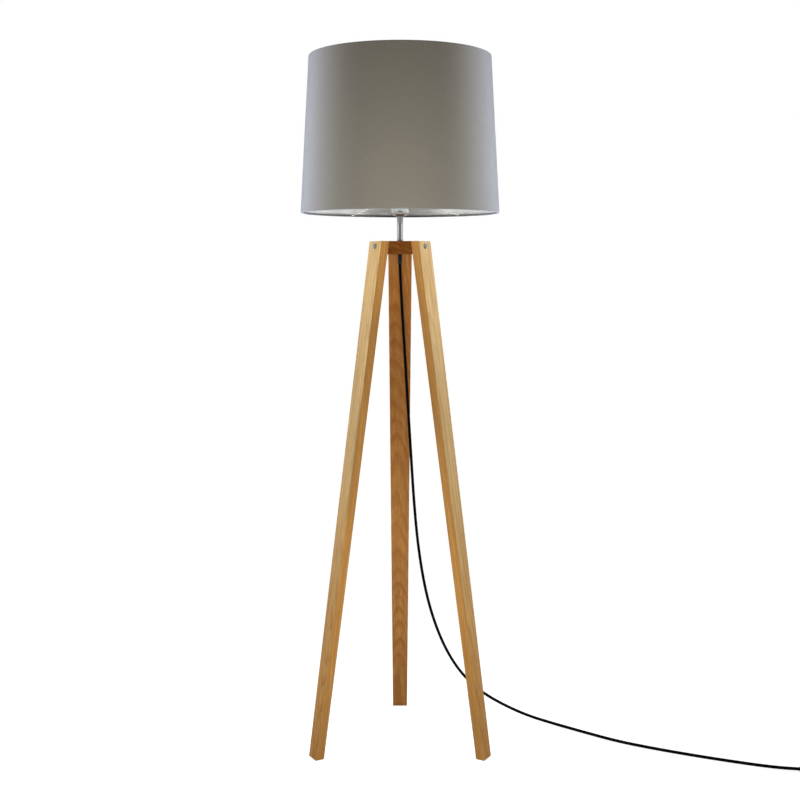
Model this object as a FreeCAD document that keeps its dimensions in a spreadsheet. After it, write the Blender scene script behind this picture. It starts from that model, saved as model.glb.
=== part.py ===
import FreeCAD, Part
import math
import os
import re
import Sketcher

# Tripod floor lamp: three tapered wooden legs bolted to a hexagonal head block, a metal stem
# with an E27 lampholder, a tapered drum shade, and a mains cord with a foot switch and a plug.
#
# Frame: millimetres, +Z up, origin on the floor on the lamp's upright axis. The front of the
# lamp faces -Y, one leg stands at the rear (+Y), and the cord runs away towards +X.

SIZES = {
    # tripod
    "tripod_height": 1128.0,
    "foot_radius": 220.5,  # axis to a leg's outer face at the floor
    "head_radius": 63.7,  # axis to a leg's outer face at the top
    "leg_width_foot": 34.0,
    "leg_width_head": 55.2,
    "leg_thickness": 20.0,
    "leg_edge": 1.0,
    "block_height": 29.0,
    "block_setback": 0.6,  # the block's leg faces are this much narrower than a leg, each side
    # bolts, inserts and dowels between legs and block
    "bolt_drop": 11.8,  # below the leg's top edge, along its outer face
    "bolt_radius": 3.0,
    "bolt_length": 30.0,
    "bolt_head_radius": 6.8,
    "bolt_head_height": 3.3,
    "bolt_crown_radius": 4.2,
    "bolt_collar": 0.8,
    "bolt_hexagon": 4.0,  # across flats
    "bolt_hexagon_depth": 1.9,
    "bolt_clearance": 0.2,
    "insert_radius": 4.5,
    "insert_length": 13.0,
    "dowel_drop": 21.5,
    "dowel_radius": 3.0,
    "dowel_length": 24.0,  # half in the leg, half in the block
    # threaded tube, its nuts and the stem
    "tube_radius": 5.0,
    "tube_bore": 3.9,
    "tube_clearance": 0.25,
    "nut_flats": 14.0,
    "nut_height": 3.2,
    "washer_radius": 10.0,
    "washer_thickness": 1.2,
    "counterbore_radius": 12.5,
    "counterbore_depth": 9.0,
    "stem_gap": 0.5,  # between the threaded tube and the stem
    "stem_wall": 1.5,
    "stem_visible": 57.0,
    "stem_recess": 4.0,
    "seat_clearance": 0.1,
    # bushing where the cord leaves the block
    "bushing_radius": 5.1,
    "bushing_length": 16.0,
    "bushing_taper": 7.0,
    "bushing_tip": 4.1,
    "bushing_spigot": 9.0,
    "bushing_inset": 1.0,
    "cord_radius": 3.25,
    "core_radius": 0.9,
    "core_gap": 0.8,
    "lead_proud": 1.0,  # above the threaded tube
    # lampholder
    "cup_radius": 20.0,
    "cup_height": 28.0,
    "cup_wall": 1.0,
    "cup_round": 9.0,
    "holder_clearance": 0.2,
    "base_thickness": 9.0,
    "base_rim": 7.0,
    "base_rim_wall": 3.0,
    "base_bore": 4.0,
    "terminal_offset": 10.0,
    "terminal_length": 5.0,
    "terminal_width": 4.0,
    "terminal_below": 3.0,
    "terminal_screw": 1.2,
    "contact_thickness": 0.6,
    "contact_width": 6.0,
    "contact_rise": 2.0,
    "shell_radius": 14.1,
    "shell_wall": 0.5,
    "shell_height": 24.0,
    "skirt_spigot": 3.0,
    "skirt_flange": 2.0,
    "skirt_step": 0.5,  # the skirt is this much narrower than the cup
    "skirt_height": 34.0,
    "skirt_bore": 14.6,
    # rings that hold the shade on the skirt
    "shade_seat_rise": 13.5,  # cup rim to the underside of the shade's centre ring
    "seat_ring_radius": 25.0,
    "seat_ring_thickness": 3.0,
    "lock_ring_radius": 24.5,
    "lock_ring_height": 6.5,
    "ring_clearance": 0.1,
    # shade
    "shade_bottom_radius": 225.0,
    "shade_top_radius": 207.3,
    "shade_height": 355.3,
    "fabric_thickness": 0.6,
    "lining_thickness": 0.8,
    "wire_radius": 1.8,
    "wire_gap": 0.3,
    "hem_depth": 4.5,
    "spider_rise": 35.0,
    "spider_ring_radius": 27.0,
    "spider_ring_thickness": 2.0,
    "arm_radius": 1.6,
    "arm_weld": 1.5,
    "arm_notch": 0.6,
    # bulb, with heights above its centre contact
    "bulb_contact_radius": 5.0,
    "bulb_contact_height": 1.5,
    "bulb_insulator_radius": 10.8,
    "bulb_insulator_top": 4.5,
    "bulb_cap_radius": 13.1,
    "bulb_cap_wall": 0.5,
    "bulb_cap_top": 26.5,
    "bulb_neck_radius": 14.2,
    "bulb_neck_top": 38.0,
    "bulb_radius": 30.0,
    "bulb_wall": 1.2,
    "bulb_shoulder": 75.0,
    "bulb_height": 111.0,
    "bulb_dome": 29.0,
    "board_drop": 5.0,
    "board_thickness": 1.6,
    "diode_width": 3.0,
    "diode_height": 0.8,
    "diode_circle": 17.0,
    # coil of put-away cord
    "coil_inner": 29.5,
    "coil_outer": 36.5,
    "coil_lift": 1.3,
    "coil_layer": 6.5,
    "coil_edge": 3.15,
    "tie_width": 10.0,
    "tie_thickness": 1.2,
    "tie_gap": 0.6,
    # foot switch
    "switch_radius": 31.0,
    "switch_height": 21.0,
    "switch_base": 3.0,
    "switch_wall": 2.0,
    "switch_round": 7.0,
    "switch_entry": 7.5,  # height of the cord's axis where it goes in
    "button_radius": 14.5,
    "button_clearance": 0.4,
    "button_proud": 5.0,
    "button_round": 2.5,
    "button_wall": 2.0,
    "button_flange": 2.5,
    "button_flange_thickness": 1.9,
    "button_gap": 0.1,
    "button_travel": 3.0,
    "button_stem": 2.5,
    "bridge_length": 15.0,
    "bridge_width": 5.0,
    "bridge_thickness": 1.0,
    "bridge_clearance": 4.0,
    "strip_length": 15.0,
    "strip_width": 4.0,
    "strip_thickness": 0.8,
    "post_offset": 5.5,
    "post_radius": 1.5,
    "spring_radius": 10.4,
    "spring_wire": 0.5,
    "spring_turns": 6.0,
    "pillar_offset": 23.5,
    "pillar_radius": 3.2,
    "screw_radius": 1.25,
    "screw_head_radius": 2.6,
    "screw_head_height": 1.6,
    "screw_length": 11.0,
    # plug
    "plug_width": 35.3,
    "plug_thickness": 13.7,
    "plug_face_length": 14.0,
    "plug_length": 34.0,
    "plug_waist": 14.0,
    "plug_round": 3.0,
    "boot_radius": 5.6,
    "boot_tip": 4.4,
    "boot_length": 18.0,
    "cord_in_boot": 10.0,
    "pin_radius": 2.0,
    "pin_length": 19.0,
    "pin_root": 6.0,
    "pin_spacing": 18.6,
    "pin_round": 1.0,
}

# What follows from the sizes above, each spelled out once.
DERIVED = {
    "splay": "(foot_radius - head_radius) / tripod_height",
    "leg_slant": "sqrt(tripod_height ^ 2 + (foot_radius - head_radius) ^ 2)",
    "leg_depth": "leg_thickness * leg_slant / tripod_height",
    "leg_taper": "(leg_width_head - leg_width_foot) / leg_slant",
    "block_bottom": "tripod_height - block_height",
    "insert_bore": "bolt_radius",
    "tube_bottom": "block_bottom + bushing_inset",
    "nut_top": "block_bottom + counterbore_depth - washer_thickness",
    "nut_corner": "nut_flats / sqrt(3)",
    "stem_foot": "tripod_height - stem_recess",
    "stem_bore": "tube_radius + stem_gap",
    "stem_radius": "stem_bore + stem_wall",
    "cup_level": "tripod_height + stem_visible",
    "cup_rim": "cup_level + cup_height",
    "base_radius": "cup_radius - cup_wall - holder_clearance",
    "skirt_radius": "cup_radius - skirt_step",
    "base_top": "cup_rim - skirt_spigot",
    "base_level": "base_top - base_thickness",
    "tube_top": "cup_level + cup_wall + nut_height",
    "bulb_level": "base_top + contact_rise",
    "spider_level": "cup_rim + shade_seat_rise",
    "shade_level": "spider_level - spider_rise",
    "shade_wall": "fabric_thickness + lining_thickness",
    "hem_wrap": "shade_wall + 2 * wire_gap + 2 * wire_radius + fabric_thickness",
    "wire_inset": "shade_wall + wire_gap + wire_radius",
    "wire_rise": "fabric_thickness + wire_gap + wire_radius",
    "board_level": "bulb_shoulder - board_drop",
    "housing_flare": "(bulb_radius - bulb_neck_radius) / (bulb_shoulder - bulb_neck_top)",
    "board_radius": "bulb_neck_radius - bulb_wall + housing_flare * (board_level - bulb_neck_top)",
    "button_hole": "button_radius + button_clearance",
    "button_stop": "switch_height - switch_wall - button_gap",
    "button_foot": "button_stop - button_flange_thickness",
    "button_top": "switch_height + button_proud",
    "button_ceiling": "button_top - button_wall",
    "post_top": "bridge_level - button_travel - button_gap",
    "bridge_level": "switch_base + button_travel + bridge_clearance",
    "coil_height": "coil_layer + 2 * cord_radius",
}

ARM_TURNS = [50.0 + 72.0 * index for index in range(5)]
LEGS = {"leg_front_left": -60.0, "leg_front_right": 60.0, "leg_rear": 180.0}
FULL_TURN = 360.0
DIODES = 8
ARC_SHARE = 0.45  # of the shorter run beside a point of a route
VOLUME_SHARE = 0.01  # by which a swept tube's volume may be off
UPRIGHT_SHARE = 0.4  # of a core's climb, at each end

# Route of the cord, point by point: from the bushing down behind the front right leg and over
# the floor into the foot switch, from the switch to the coil, and from the coil to the plug.
CORD_TO_SWITCH = [
    (0, 0, 1076), (0, 0, 1050), (27.5, 7, 600), (33, 11, 520), (40.5, 16, 440), (51.5, 25, 365),
    (65, 35, 300), (84, 44, 238), (108, 53, 181), (140, 66, 128), (182, 81, 82), (235, 95, 45),
    (300, 99, 14), (364, 74, 3.25), (427, 23, 3.25), (490, -26, 3.25), (559, -64, 3.25), (630, -98, 3.25),
    (702, -129, 3.25), (775, -157, 3.25), (826, -174, 4.4), (868, -186, 7.5),
]
CORD_TO_COIL = [
    (914, -199, 7.5), (946, -206, 5.3), (971, -193, 4.55), (982, -164, 4.55), (982, -132, 4.55),
    (981, -103, 4.55),
]
CORD_TO_PLUG = [
    (981, -97, 11.05), (981, -72, 10.2), (976, -46, 7.4), (968, -24, 6.4), (964, -2, 6.85),
]
COIL_CENTRE = (944.5, -100)

X_AXIS = FreeCAD.Vector(1, 0, 0)
Y_AXIS = FreeCAD.Vector(0, 1, 0)
Z_AXIS = FreeCAD.Vector(0, 0, 1)
ORIGIN = FreeCAD.Vector(0, 0, 0)

doc = FreeCAD.newDocument("tripod_floor_lamp")
sheet = doc.addObject("Spreadsheet::Sheet", "Sizes")
pieces = []


def fill_sheet():
    """Write every driving size into the spreadsheet, with its alias."""
    for row, (alias, value) in enumerate(SIZES.items(), start=1):
        sheet.set("A%d" % row, alias)
        sheet.set("B%d" % row, str(value))
        sheet.setAlias("B%d" % row, alias)
    doc.recompute()


def bound(text):
    """Spell an expression out in cells of the sheet."""

    def spell(match):
        word = match.group(0)
        if word in DERIVED:
            return "(" + bound(DERIVED[word]) + ")"
        return "Sizes." + word if word in SIZES else word

    return re.sub("[a-z_]+", spell, text)


def value(text):
    """Work an expression out as a number."""
    return float(sheet.evalExpression(bound(text)))


def bind(item, name, text):
    """Bind one property of an object to an expression of the sheet's cells."""
    item.setExpression(name, bound(text))


def point(along_x, along_y, along_z):
    """Return the vector of three expressions."""
    return FreeCAD.Vector(value(along_x), value(along_y), value(along_z))


def upright(height):
    """Return a placement on the lamp's axis at a height."""
    return FreeCAD.Placement(point("0", "0", height), FreeCAD.Rotation())


def turned(axis, degrees, centre=ORIGIN):
    """Return a placement that turns about an axis through the origin, then moves."""
    return FreeCAD.Placement(centre, FreeCAD.Rotation(axis, degrees))


def aimed(start, direction):
    """Return a placement that sends +Z along a direction from a starting point."""
    return FreeCAD.Placement(start, FreeCAD.Rotation(Z_AXIS, direction))


def new_body(name):
    """Add an empty body."""
    return doc.addObject("PartDesign::Body", name)


def new_sketch(body, role):
    """Add a sketch to a body, on the origin plane with that role."""
    plane = [item for item in body.Origin.OriginFeatures if item.Role == role][0]
    sketch = body.newObject("Sketcher::SketchObject", body.Name + "_outline")
    sketch.AttachmentSupport = [(plane, "")]
    sketch.MapMode = "FlatFace"
    return sketch


def pin_down(sketch, shape, end, corner):
    """Fix one end of a sketch element at a corner given by two expressions."""
    for kind, axis, text in (("DistanceX", -2, corner[0]), ("DistanceY", -1, corner[1])):
        if value(text) == 0:
            sketch.addConstraint(Sketcher.Constraint("PointOnObject", shape, end, axis))
            continue
        rule = Sketcher.Constraint(kind, -1, 1, shape, end, value(text))
        index = sketch.addConstraint(rule)
        bind(sketch, "Constraints[%d]" % index, text)


def add_polygon(sketch, corners):
    """Add a closed outline of straight lines, with every corner bound to the sheet."""
    first = sketch.GeometryCount
    spots = [point(across, along, "0") for across, along in corners]
    for start, finish in zip(spots, spots[1:] + spots[:1]):
        sketch.addGeometry(Part.LineSegment(start, finish))
    for index in range(len(corners)):
        following = (index + 1) % len(corners)
        joint = Sketcher.Constraint("Coincident", first + index, 2, first + following, 1)
        sketch.addConstraint(joint)
    for index, corner in enumerate(corners):
        pin_down(sketch, first + index, 1, corner)


def add_circle(sketch, centre, radius):
    """Add a circle with its centre and its radius bound to the sheet."""
    middle = point(centre[0], centre[1], "0")
    shape = sketch.addGeometry(Part.Circle(middle, Z_AXIS, value(radius)))
    index = sketch.addConstraint(Sketcher.Constraint("Radius", shape, value(radius)))
    bind(sketch, "Constraints[%d]" % index, radius)
    pin_down(sketch, shape, 3, centre)


def pad(body, role, corners, length, symmetric=False, backwards=False):
    """Pad a polygon on one of the body's planes."""
    sketch = new_sketch(body, role)
    add_polygon(sketch, corners)
    feature = body.newObject("PartDesign::Pad", body.Name + "_pad")
    feature.Profile = sketch
    bind(feature, "Length", length)
    feature.SideType = "Symmetric" if symmetric else "One side"
    feature.Reversed = backwards
    doc.recompute()
    return feature


def pocket(body, sketch, depth=None, backwards=False):
    """Cut a sketch out of the body: to a depth, or right through both ways."""
    before = body.Shape.Volume
    feature = body.newObject("PartDesign::Pocket", body.Name + "_pocket")
    feature.Profile = sketch
    if depth is None:
        feature.Type = "ThroughAll"
        feature.SideType = "Symmetric"
    else:
        bind(feature, "Length", depth)
    feature.Reversed = backwards
    doc.recompute()
    if not body.Shape.Volume < before:
        raise ValueError("a pocket cut nothing out of " + body.Name)
    return feature


def revolve(name, corners, rounds=()):
    """Turn a half outline about the upright axis, and round the rims that are listed.

    Each corner is (radius, height), and each round is (radius, height, size of the round).
    """
    body = new_body(name)
    sketch = new_sketch(body, "XZ_Plane")
    add_polygon(sketch, corners)
    feature = body.newObject("PartDesign::Revolution", name + "_turning")
    feature.Profile = sketch
    feature.ReferenceAxis = (sketch, ["V_Axis"])
    feature.Angle = FULL_TURN
    doc.recompute()
    for radius, height, size in rounds:
        feature = round_edges(body, feature, rims_at(feature.Shape, radius, height), size)
    return body


def rims_at(shape, radius, height):
    """Name the circular edges of a shape that have a radius and lie at a height."""
    names = []
    for index, edge in enumerate(shape.Edges, start=1):
        curve = edge.Curve
        if isinstance(curve, Part.Circle):
            size_fits = abs(curve.Radius - value(radius)) < 1e-4
            if size_fits and abs(curve.Center.z - value(height)) < 1e-4:
                names.append("Edge%d" % index)
    return names


def round_edges(body, feature, names, size):
    """Fillet some edges of a body's last feature."""
    fillet = body.newObject("PartDesign::Fillet", body.Name + "_round")
    fillet.Base = (feature, names)
    bind(fillet, "Radius", size)
    doc.recompute()
    return fillet


def cylinder(name, radius, length, placement):
    """Add a cylinder that runs along its own +Z."""
    item = doc.addObject("Part::Cylinder", name)
    bind(item, "Radius", radius)
    bind(item, "Height", length)
    item.Placement = placement
    return item


def box(name, length, width, height, placement):
    """Add a box that is centred on its own Z axis and stands on its own XY plane."""
    item = doc.addObject("Part::Box", name)
    bind(item, "Length", length)
    bind(item, "Width", width)
    bind(item, "Height", height)
    corner = FreeCAD.Placement(point("-(%s) / 2" % length, "-(%s) / 2" % width, "0"), FreeCAD.Rotation())
    item.Placement = placement.multiply(corner)
    return item


def cut(name, base, tools):
    """Take several tools away from a base."""
    joined = tools[0] if len(tools) == 1 else fuse(name + "_tools", tools)
    item = doc.addObject("Part::Cut", name)
    item.Base = base
    item.Tool = joined
    doc.recompute()
    if not item.Shape.Volume < base.Shape.Volume:
        raise ValueError("a cut took nothing out of " + name)
    return item


def fuse(name, members):
    """Join several solids into one."""
    item = doc.addObject("Part::MultiFuse", name)
    item.Shapes = members
    item.Refine = True
    return item


def group(name, members):
    """Keep several separate solids together under one name."""
    item = doc.addObject("Part::Compound", name)
    item.Links = members
    return item


def keep(item, label, placement=None):
    """Enter a finished piece in the list, with its label and its place."""
    if placement is not None:
        item.Placement = placement
    item.Label = label
    pieces.append(item)
    return item


# ---------------------------------------------------------------- tripod


def leg_place(turn):
    """Return the frame of a leg: X across it, Y into the wood, Z up along its outer face."""
    around = FreeCAD.Rotation(Z_AXIS, turn)
    lean = FreeCAD.Rotation(X_AXIS, -math.degrees(math.atan(value("splay"))))
    foot = around.multVec(point("0", "-foot_radius", "0"))
    return FreeCAD.Placement(foot, around.multiply(lean))


def on_leg(turn, drop, depth):
    """Return a frame on a leg whose +Z points straight into the wood.

    drop is measured down from the leg's top edge, and depth from its outer face.
    """
    spot = FreeCAD.Placement(point("0", depth, "leg_slant - " + drop), FreeCAD.Rotation(X_AXIS, -90))
    return leg_place(turn).multiply(spot)


def make_leg(label, turn):
    """Make one leg: a board that narrows to the foot, cut level at both ends and drilled."""
    body = new_body(label + "_board")
    spare = "leg_thickness"
    half_foot = "(leg_width_foot - leg_taper * %s) / 2" % spare
    half_head = "(leg_width_head + leg_taper * %s) / 2" % spare
    low = "-(%s)" % spare
    high = "leg_slant + %s" % spare
    corners = [("-" + half_foot, low), (half_foot, low), (half_head, high), ("-" + half_head, high)]
    feature = pad(body, "XZ_Plane", corners, "leg_thickness", backwards=True)
    long_edges = []
    for index, edge in enumerate(feature.Shape.Edges, start=1):
        if edge.Length > value("tripod_height"):
            long_edges.append("Edge%d" % index)
    round_edges(body, feature, long_edges, "leg_edge")

    near = "-(%s)" % spare
    far = "2 * %s" % spare
    sole = new_sketch(body, "YZ_Plane")
    deep = "-2 * %s" % spare
    add_polygon(sole, [(near, near + " * splay"), (near, deep), (far, deep), (far, far + " * splay")])
    pocket(body, sole)
    top = new_sketch(body, "YZ_Plane")
    tall = "leg_slant + %s" % far
    level = "leg_slant + %s * splay"
    add_polygon(top, [(near, level % near), (far, level % far), (far, tall), (near, tall)])
    pocket(body, top)

    bolt_hole = new_sketch(body, "XZ_Plane")
    add_circle(bolt_hole, ("0", "leg_slant - bolt_drop"), "bolt_radius + bolt_clearance")
    pocket(body, bolt_hole)
    body.Placement = leg_place(turn)
    dowel_depth = "leg_thickness - dowel_length / 2"
    dowel_hole = cylinder(label + "_dowel_hole", "dowel_radius", "dowel_length",
                          on_leg(turn, "dowel_drop", dowel_depth))
    keep(cut(label + "_drilled", body, [dowel_hole]), label)


def make_legs():
    """Make the three legs."""
    for label, turn in LEGS.items():
        make_leg(label, turn)


def hexagon(level):
    """Return the block's six corners at a height: wide faces meet legs, the others stay free."""
    inset = "(foot_radius - splay * (%s) - leg_depth)" % level
    width = "(leg_width_foot + leg_taper * leg_slant / tripod_height * (%s))" % level
    half = "(%s / 2 - block_setback)" % width
    corners = []
    for turn in LEGS.values():
        angle = math.radians(turn)
        for side in (-1, 1):
            across = "%.9f * %s + %.9f * %s" % (math.sin(angle), inset, side * math.cos(angle), half)
            along = "%.9f * %s + %.9f * %s" % (-math.cos(angle), inset, side * math.sin(angle), half)
            corners.append((across, along))
    return corners


def make_head_block():
    """Make the block: a hexagonal frustum, bored for the tube, the legs' bolts and the dowels."""
    body = new_body("head_block_blank")
    outlines = []
    for level in ("block_bottom", "tripod_height"):
        sketch = new_sketch(body, "XY_Plane")
        add_polygon(sketch, hexagon(level))
        bind(sketch, "AttachmentOffset.Base.z", level)
        outlines.append(sketch)
    loft = body.newObject("PartDesign::AdditiveLoft", "head_block_loft")
    loft.Profile = outlines[0]
    loft.Sections = outlines[1:]
    loft.Ruled = True
    doc.recompute()

    tools = [
        cylinder("tube_hole", "tube_radius + tube_clearance", "block_height", upright("block_bottom")),
        cylinder("nut_recess", "counterbore_radius", "counterbore_depth", upright("block_bottom")),
        cylinder("stem_seat", "stem_radius + seat_clearance", "stem_recess", upright("stem_foot")),
    ]
    for label, turn in LEGS.items():
        place = on_leg(turn, "bolt_drop", "leg_thickness")
        tools.append(cylinder(label + "_insert_hole", "insert_radius", "insert_length", place))
        place = on_leg(turn, "dowel_drop", "leg_thickness")
        tools.append(cylinder(label + "_block_dowel_hole", "dowel_radius", "dowel_length / 2", place))
    keep(cut("head_block_drilled", body, tools), "head_block")


def make_bolt(name, turn):
    """Make one collar-head bolt with a hexagon socket, in place on its leg."""
    dome = "bolt_head_height"
    corners = [
        ("0", "-(%s)" % dome), ("bolt_crown_radius", "-(%s)" % dome),
        ("bolt_head_radius - bolt_collar", "-bolt_collar"), ("bolt_head_radius", "-bolt_collar"),
        ("bolt_head_radius", "0"), ("bolt_radius", "0"), ("bolt_radius", "bolt_length"),
        ("0", "bolt_length"),
    ]
    body = revolve(name, corners, [("bolt_crown_radius", "-bolt_head_height", "bolt_collar")])
    socket = new_sketch(body, "XY_Plane")
    bind(socket, "AttachmentOffset.Base.z", "-bolt_head_height")
    spokes = [math.radians(60 * index) for index in range(6)]
    reach = "bolt_hexagon / sqrt(3)"
    hexagon_corners = [("%.9f * %s" % (math.cos(spoke), reach), "%.9f * %s" % (math.sin(spoke), reach))
                       for spoke in spokes]
    add_polygon(socket, hexagon_corners)
    pocket(body, socket, "bolt_hexagon_depth", backwards=True)
    body.Placement = on_leg(turn, "bolt_drop", "0")
    return body


def make_fasteners():
    """Make the bolts, the threaded inserts and the dowels that join legs to block."""
    bolts = []
    inserts = []
    dowels = []
    for label, turn in LEGS.items():
        bolts.append(make_bolt(label + "_bolt", turn))
        corners = [("insert_bore", "0"), ("insert_radius", "0"), ("insert_radius", "insert_length"),
                   ("insert_bore", "insert_length")]
        insert = revolve(label + "_insert", corners)
        insert.Placement = on_leg(turn, "bolt_drop", "leg_thickness")
        inserts.append(insert)
        depth = "leg_thickness - dowel_length / 2"
        dowels.append(cylinder(label + "_dowel", "dowel_radius", "dowel_length",
                               on_leg(turn, "dowel_drop", depth)))
    keep(group("bolt_set", bolts), "leg_bolts")
    keep(group("insert_set", inserts), "leg_inserts")
    keep(group("dowel_set", dowels), "leg_dowels")


# ---------------------------------------------------------------- tube, stem and bushing


def make_ring(label, inner, outer, height, level):
    """Make a plain ring or tube that stands at a level on the axis."""
    body = revolve(label, [(inner, "0"), (outer, "0"), (outer, height), (inner, height)])
    return keep(body, label, upright(level))


def make_nut(label, level):
    """Make a hexagon nut that fits the threaded tube."""
    blank = doc.addObject("Part::Prism", label + "_blank")
    blank.Polygon = 6
    bind(blank, "Circumradius", "nut_corner")
    bind(blank, "Height", "nut_height")
    hole = cylinder(label + "_hole", "tube_radius", "nut_height", FreeCAD.Placement())
    keep(cut(label + "_bored", blank, [hole]), label, upright(level))


def make_stem():
    """Make the threaded tube, its nuts and washer, and the bright tube over it."""
    make_ring("threaded_tube", "tube_bore", "tube_radius", "tube_top - tube_bottom", "tube_bottom")
    make_ring("clamp_washer", "tube_radius + tube_clearance", "washer_radius", "washer_thickness",
              "nut_top")
    make_nut("clamp_nut", "nut_top - nut_height")
    make_ring("stem_tube", "stem_bore", "stem_radius", "stem_visible + stem_recess",
              "stem_foot")
    make_nut("cup_nut", "cup_level + cup_wall")


def make_bushing():
    """Make the black bushing: a spigot up in the threaded tube, a collar, and a tapered tip."""
    tip = "-(bushing_length + bushing_taper)"
    corners = [
        ("cord_radius", tip), ("bushing_tip", tip), ("bushing_radius", "-bushing_length"),
        ("bushing_radius", "bushing_inset"), ("tube_bore", "bushing_inset"),
        ("tube_bore", "bushing_inset + bushing_spigot"), ("cord_radius", "bushing_inset + bushing_spigot"),
    ]
    keep(revolve("cord_bushing", corners), "cord_bushing", upright("block_bottom"))


# ---------------------------------------------------------------- lampholder


def make_cup():
    """Make the bright cup with its rounded bottom."""
    inside = "cup_radius - cup_wall"
    hole = "tube_radius + tube_clearance"
    corners = [(hole, "0"), ("cup_radius", "0"), ("cup_radius", "cup_height"), (inside, "cup_height"),
               (inside, "cup_wall"), (hole, "cup_wall")]
    rounds = [("cup_radius", "0", "cup_round"), (inside, "cup_wall", "cup_round - cup_wall")]
    keep(revolve("holder_cup", corners, rounds), "holder_cup", upright("cup_level"))


def make_holder_base():
    """Make the ceramic base with its rim and the two slots for the terminals."""
    inside = "base_radius - base_rim_wall"
    corners = [("base_bore", "0"), (inside, "0"), (inside, "-base_rim"), ("base_radius", "-base_rim"),
               ("base_radius", "base_thickness"), ("base_bore", "base_thickness")]
    body = revolve("holder_base", corners)
    slots = new_sketch(body, "XY_Plane")
    half_width = "(terminal_width / 2 + seat_clearance)"
    near = "(terminal_offset - terminal_length / 2 - seat_clearance)"
    far = "(terminal_offset + terminal_length / 2 + seat_clearance)"
    for sign in ("-", ""):
        add_polygon(slots, [(sign + near, "-" + half_width), (sign + far, "-" + half_width),
                            (sign + far, half_width), (sign + near, half_width)])
    pocket(body, slots)
    keep(body, "holder_base", upright("base_level"))


def make_terminals():
    """Make the two terminals: brass blocks with a screw across each, below the base."""
    terminals = []
    for side, sign in (("left", "-"), ("right", "")):
        place = FreeCAD.Placement(point(sign + "terminal_offset", "0", "base_level - terminal_below"),
                                  FreeCAD.Rotation())
        block = box(side + "_terminal_block", "terminal_length", "terminal_width",
                    "base_thickness + terminal_below", place)
        screw_start = point(sign + "terminal_offset", "-terminal_width / 2 - terminal_screw",
                            "base_level - terminal_below / 2")
        screw = cylinder(side + "_terminal_screw", "terminal_screw", "terminal_width",
                         aimed(screw_start, Y_AXIS))
        terminals.append(fuse(side + "_terminal", [block, screw]))
    keep(group("terminal_set", terminals), "holder_terminals")


def make_holder_contact():
    """Make the springy centre contact: a strip from one terminal that rises to the middle."""
    body = new_body("holder_contact")
    foot = "terminal_offset + terminal_length / 2 - seat_clearance"
    under = "contact_rise - contact_thickness"
    bend = "terminal_offset - terminal_length"
    corners = [(foot, "0"), (foot, "contact_thickness"), (bend, "contact_thickness"),
               ("contact_thickness", "contact_rise"), ("-base_bore", "contact_rise"),
               ("-base_bore", under), ("contact_thickness", under), (bend, "0")]
    pad(body, "XZ_Plane", corners, "contact_width", symmetric=True)
    keep(body, "holder_contact", upright("base_top"))


def make_holder_shell():
    """Make the brass shell that takes the bulb's cap, with the tab that reaches its terminal."""
    corners = [("shell_radius - shell_wall", "0"), ("shell_radius", "0"), ("shell_radius", "shell_height"),
               ("shell_radius - shell_wall", "shell_height")]
    tube = revolve("shell_tube", corners)
    reach = "shell_radius - shell_wall / 2 - terminal_offset"
    middle = "-(terminal_offset + (%s) / 2)" % reach
    tab = box("shell_tab", reach, "terminal_width", "contact_thickness",
              FreeCAD.Placement(point(middle, "0", "0"), FreeCAD.Rotation()))
    keep(fuse("shell_with_tab", [tube, tab]), "holder_shell", upright("base_top"))


def make_skirt():
    """Make the skirt that screws into the cup and carries the shade's rings."""
    corners = [
        ("skirt_bore", "-skirt_spigot"), ("base_radius", "-skirt_spigot"), ("base_radius", "0"),
        ("cup_radius", "0"), ("cup_radius", "skirt_flange"), ("skirt_radius", "skirt_flange"),
        ("skirt_radius", "skirt_flange + skirt_height"), ("skirt_bore", "skirt_flange + skirt_height"),
    ]
    rounds = [("skirt_radius", "skirt_flange + skirt_height", "cup_wall")]
    keep(revolve("holder_skirt", corners, rounds), "holder_skirt", upright("cup_rim"))


def make_lock_ring():
    """Make the screwed ring with a wide flange that locks the shade down."""
    inner = "skirt_radius + ring_clearance"
    flange = "spider_ring_thickness"
    collar = "skirt_radius + 2 * ring_clearance + stem_wall"
    corners = [(inner, "0"), ("lock_ring_radius", "0"), ("lock_ring_radius", flange), (collar, flange),
               (collar, "lock_ring_height"), (inner, "lock_ring_height")]
    body = revolve("shade_lock_ring", corners)
    keep(body, "shade_lock_ring", upright("spider_level + spider_ring_thickness"))


def make_lampholder():
    """Make the lampholder's parts from the cup up."""
    make_cup()
    make_holder_base()
    make_terminals()
    make_holder_contact()
    make_holder_shell()
    make_skirt()
    inner = "skirt_radius + ring_clearance"
    make_ring("shade_seat_ring", inner, "seat_ring_radius", "seat_ring_thickness",
              "spider_level - seat_ring_thickness")
    make_lock_ring()


# ---------------------------------------------------------------- shade


def arm_ends():
    """Return where the shade's arms begin and end, as (radius, height) above the shade's foot."""
    outer = (value("shade_bottom_radius - wire_inset"), value("wire_rise"))
    inner = (value("spider_ring_radius - arm_weld"), value("spider_rise + spider_ring_thickness / 2"))
    return outer, inner


def make_arm(name, turn, radius):
    """Make one straight arm, or a notch along it, from the bottom wire up to the centre ring."""
    outer, inner = arm_ends()
    level = value("shade_level")
    start = FreeCAD.Vector(outer[0], 0, outer[1] + level)
    finish = FreeCAD.Vector(inner[0], 0, inner[1] + level)
    run = "(shade_bottom_radius - wire_inset - spider_ring_radius + arm_weld)"
    rise = "(spider_rise + spider_ring_thickness / 2 - wire_rise)"
    place = turned(Z_AXIS, turn).multiply(aimed(start, finish - start))
    return cylinder(name, radius, "sqrt(%s ^ 2 + %s ^ 2)" % (run, rise), place)


def make_wire_ring(label, radius, height):
    """Make one round wire ring of the shade."""
    ring = doc.addObject("Part::Torus", label)
    bind(ring, "Radius1", radius)
    bind(ring, "Radius2", "wire_radius")
    keep(ring, label, upright("shade_level + " + height))


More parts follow.
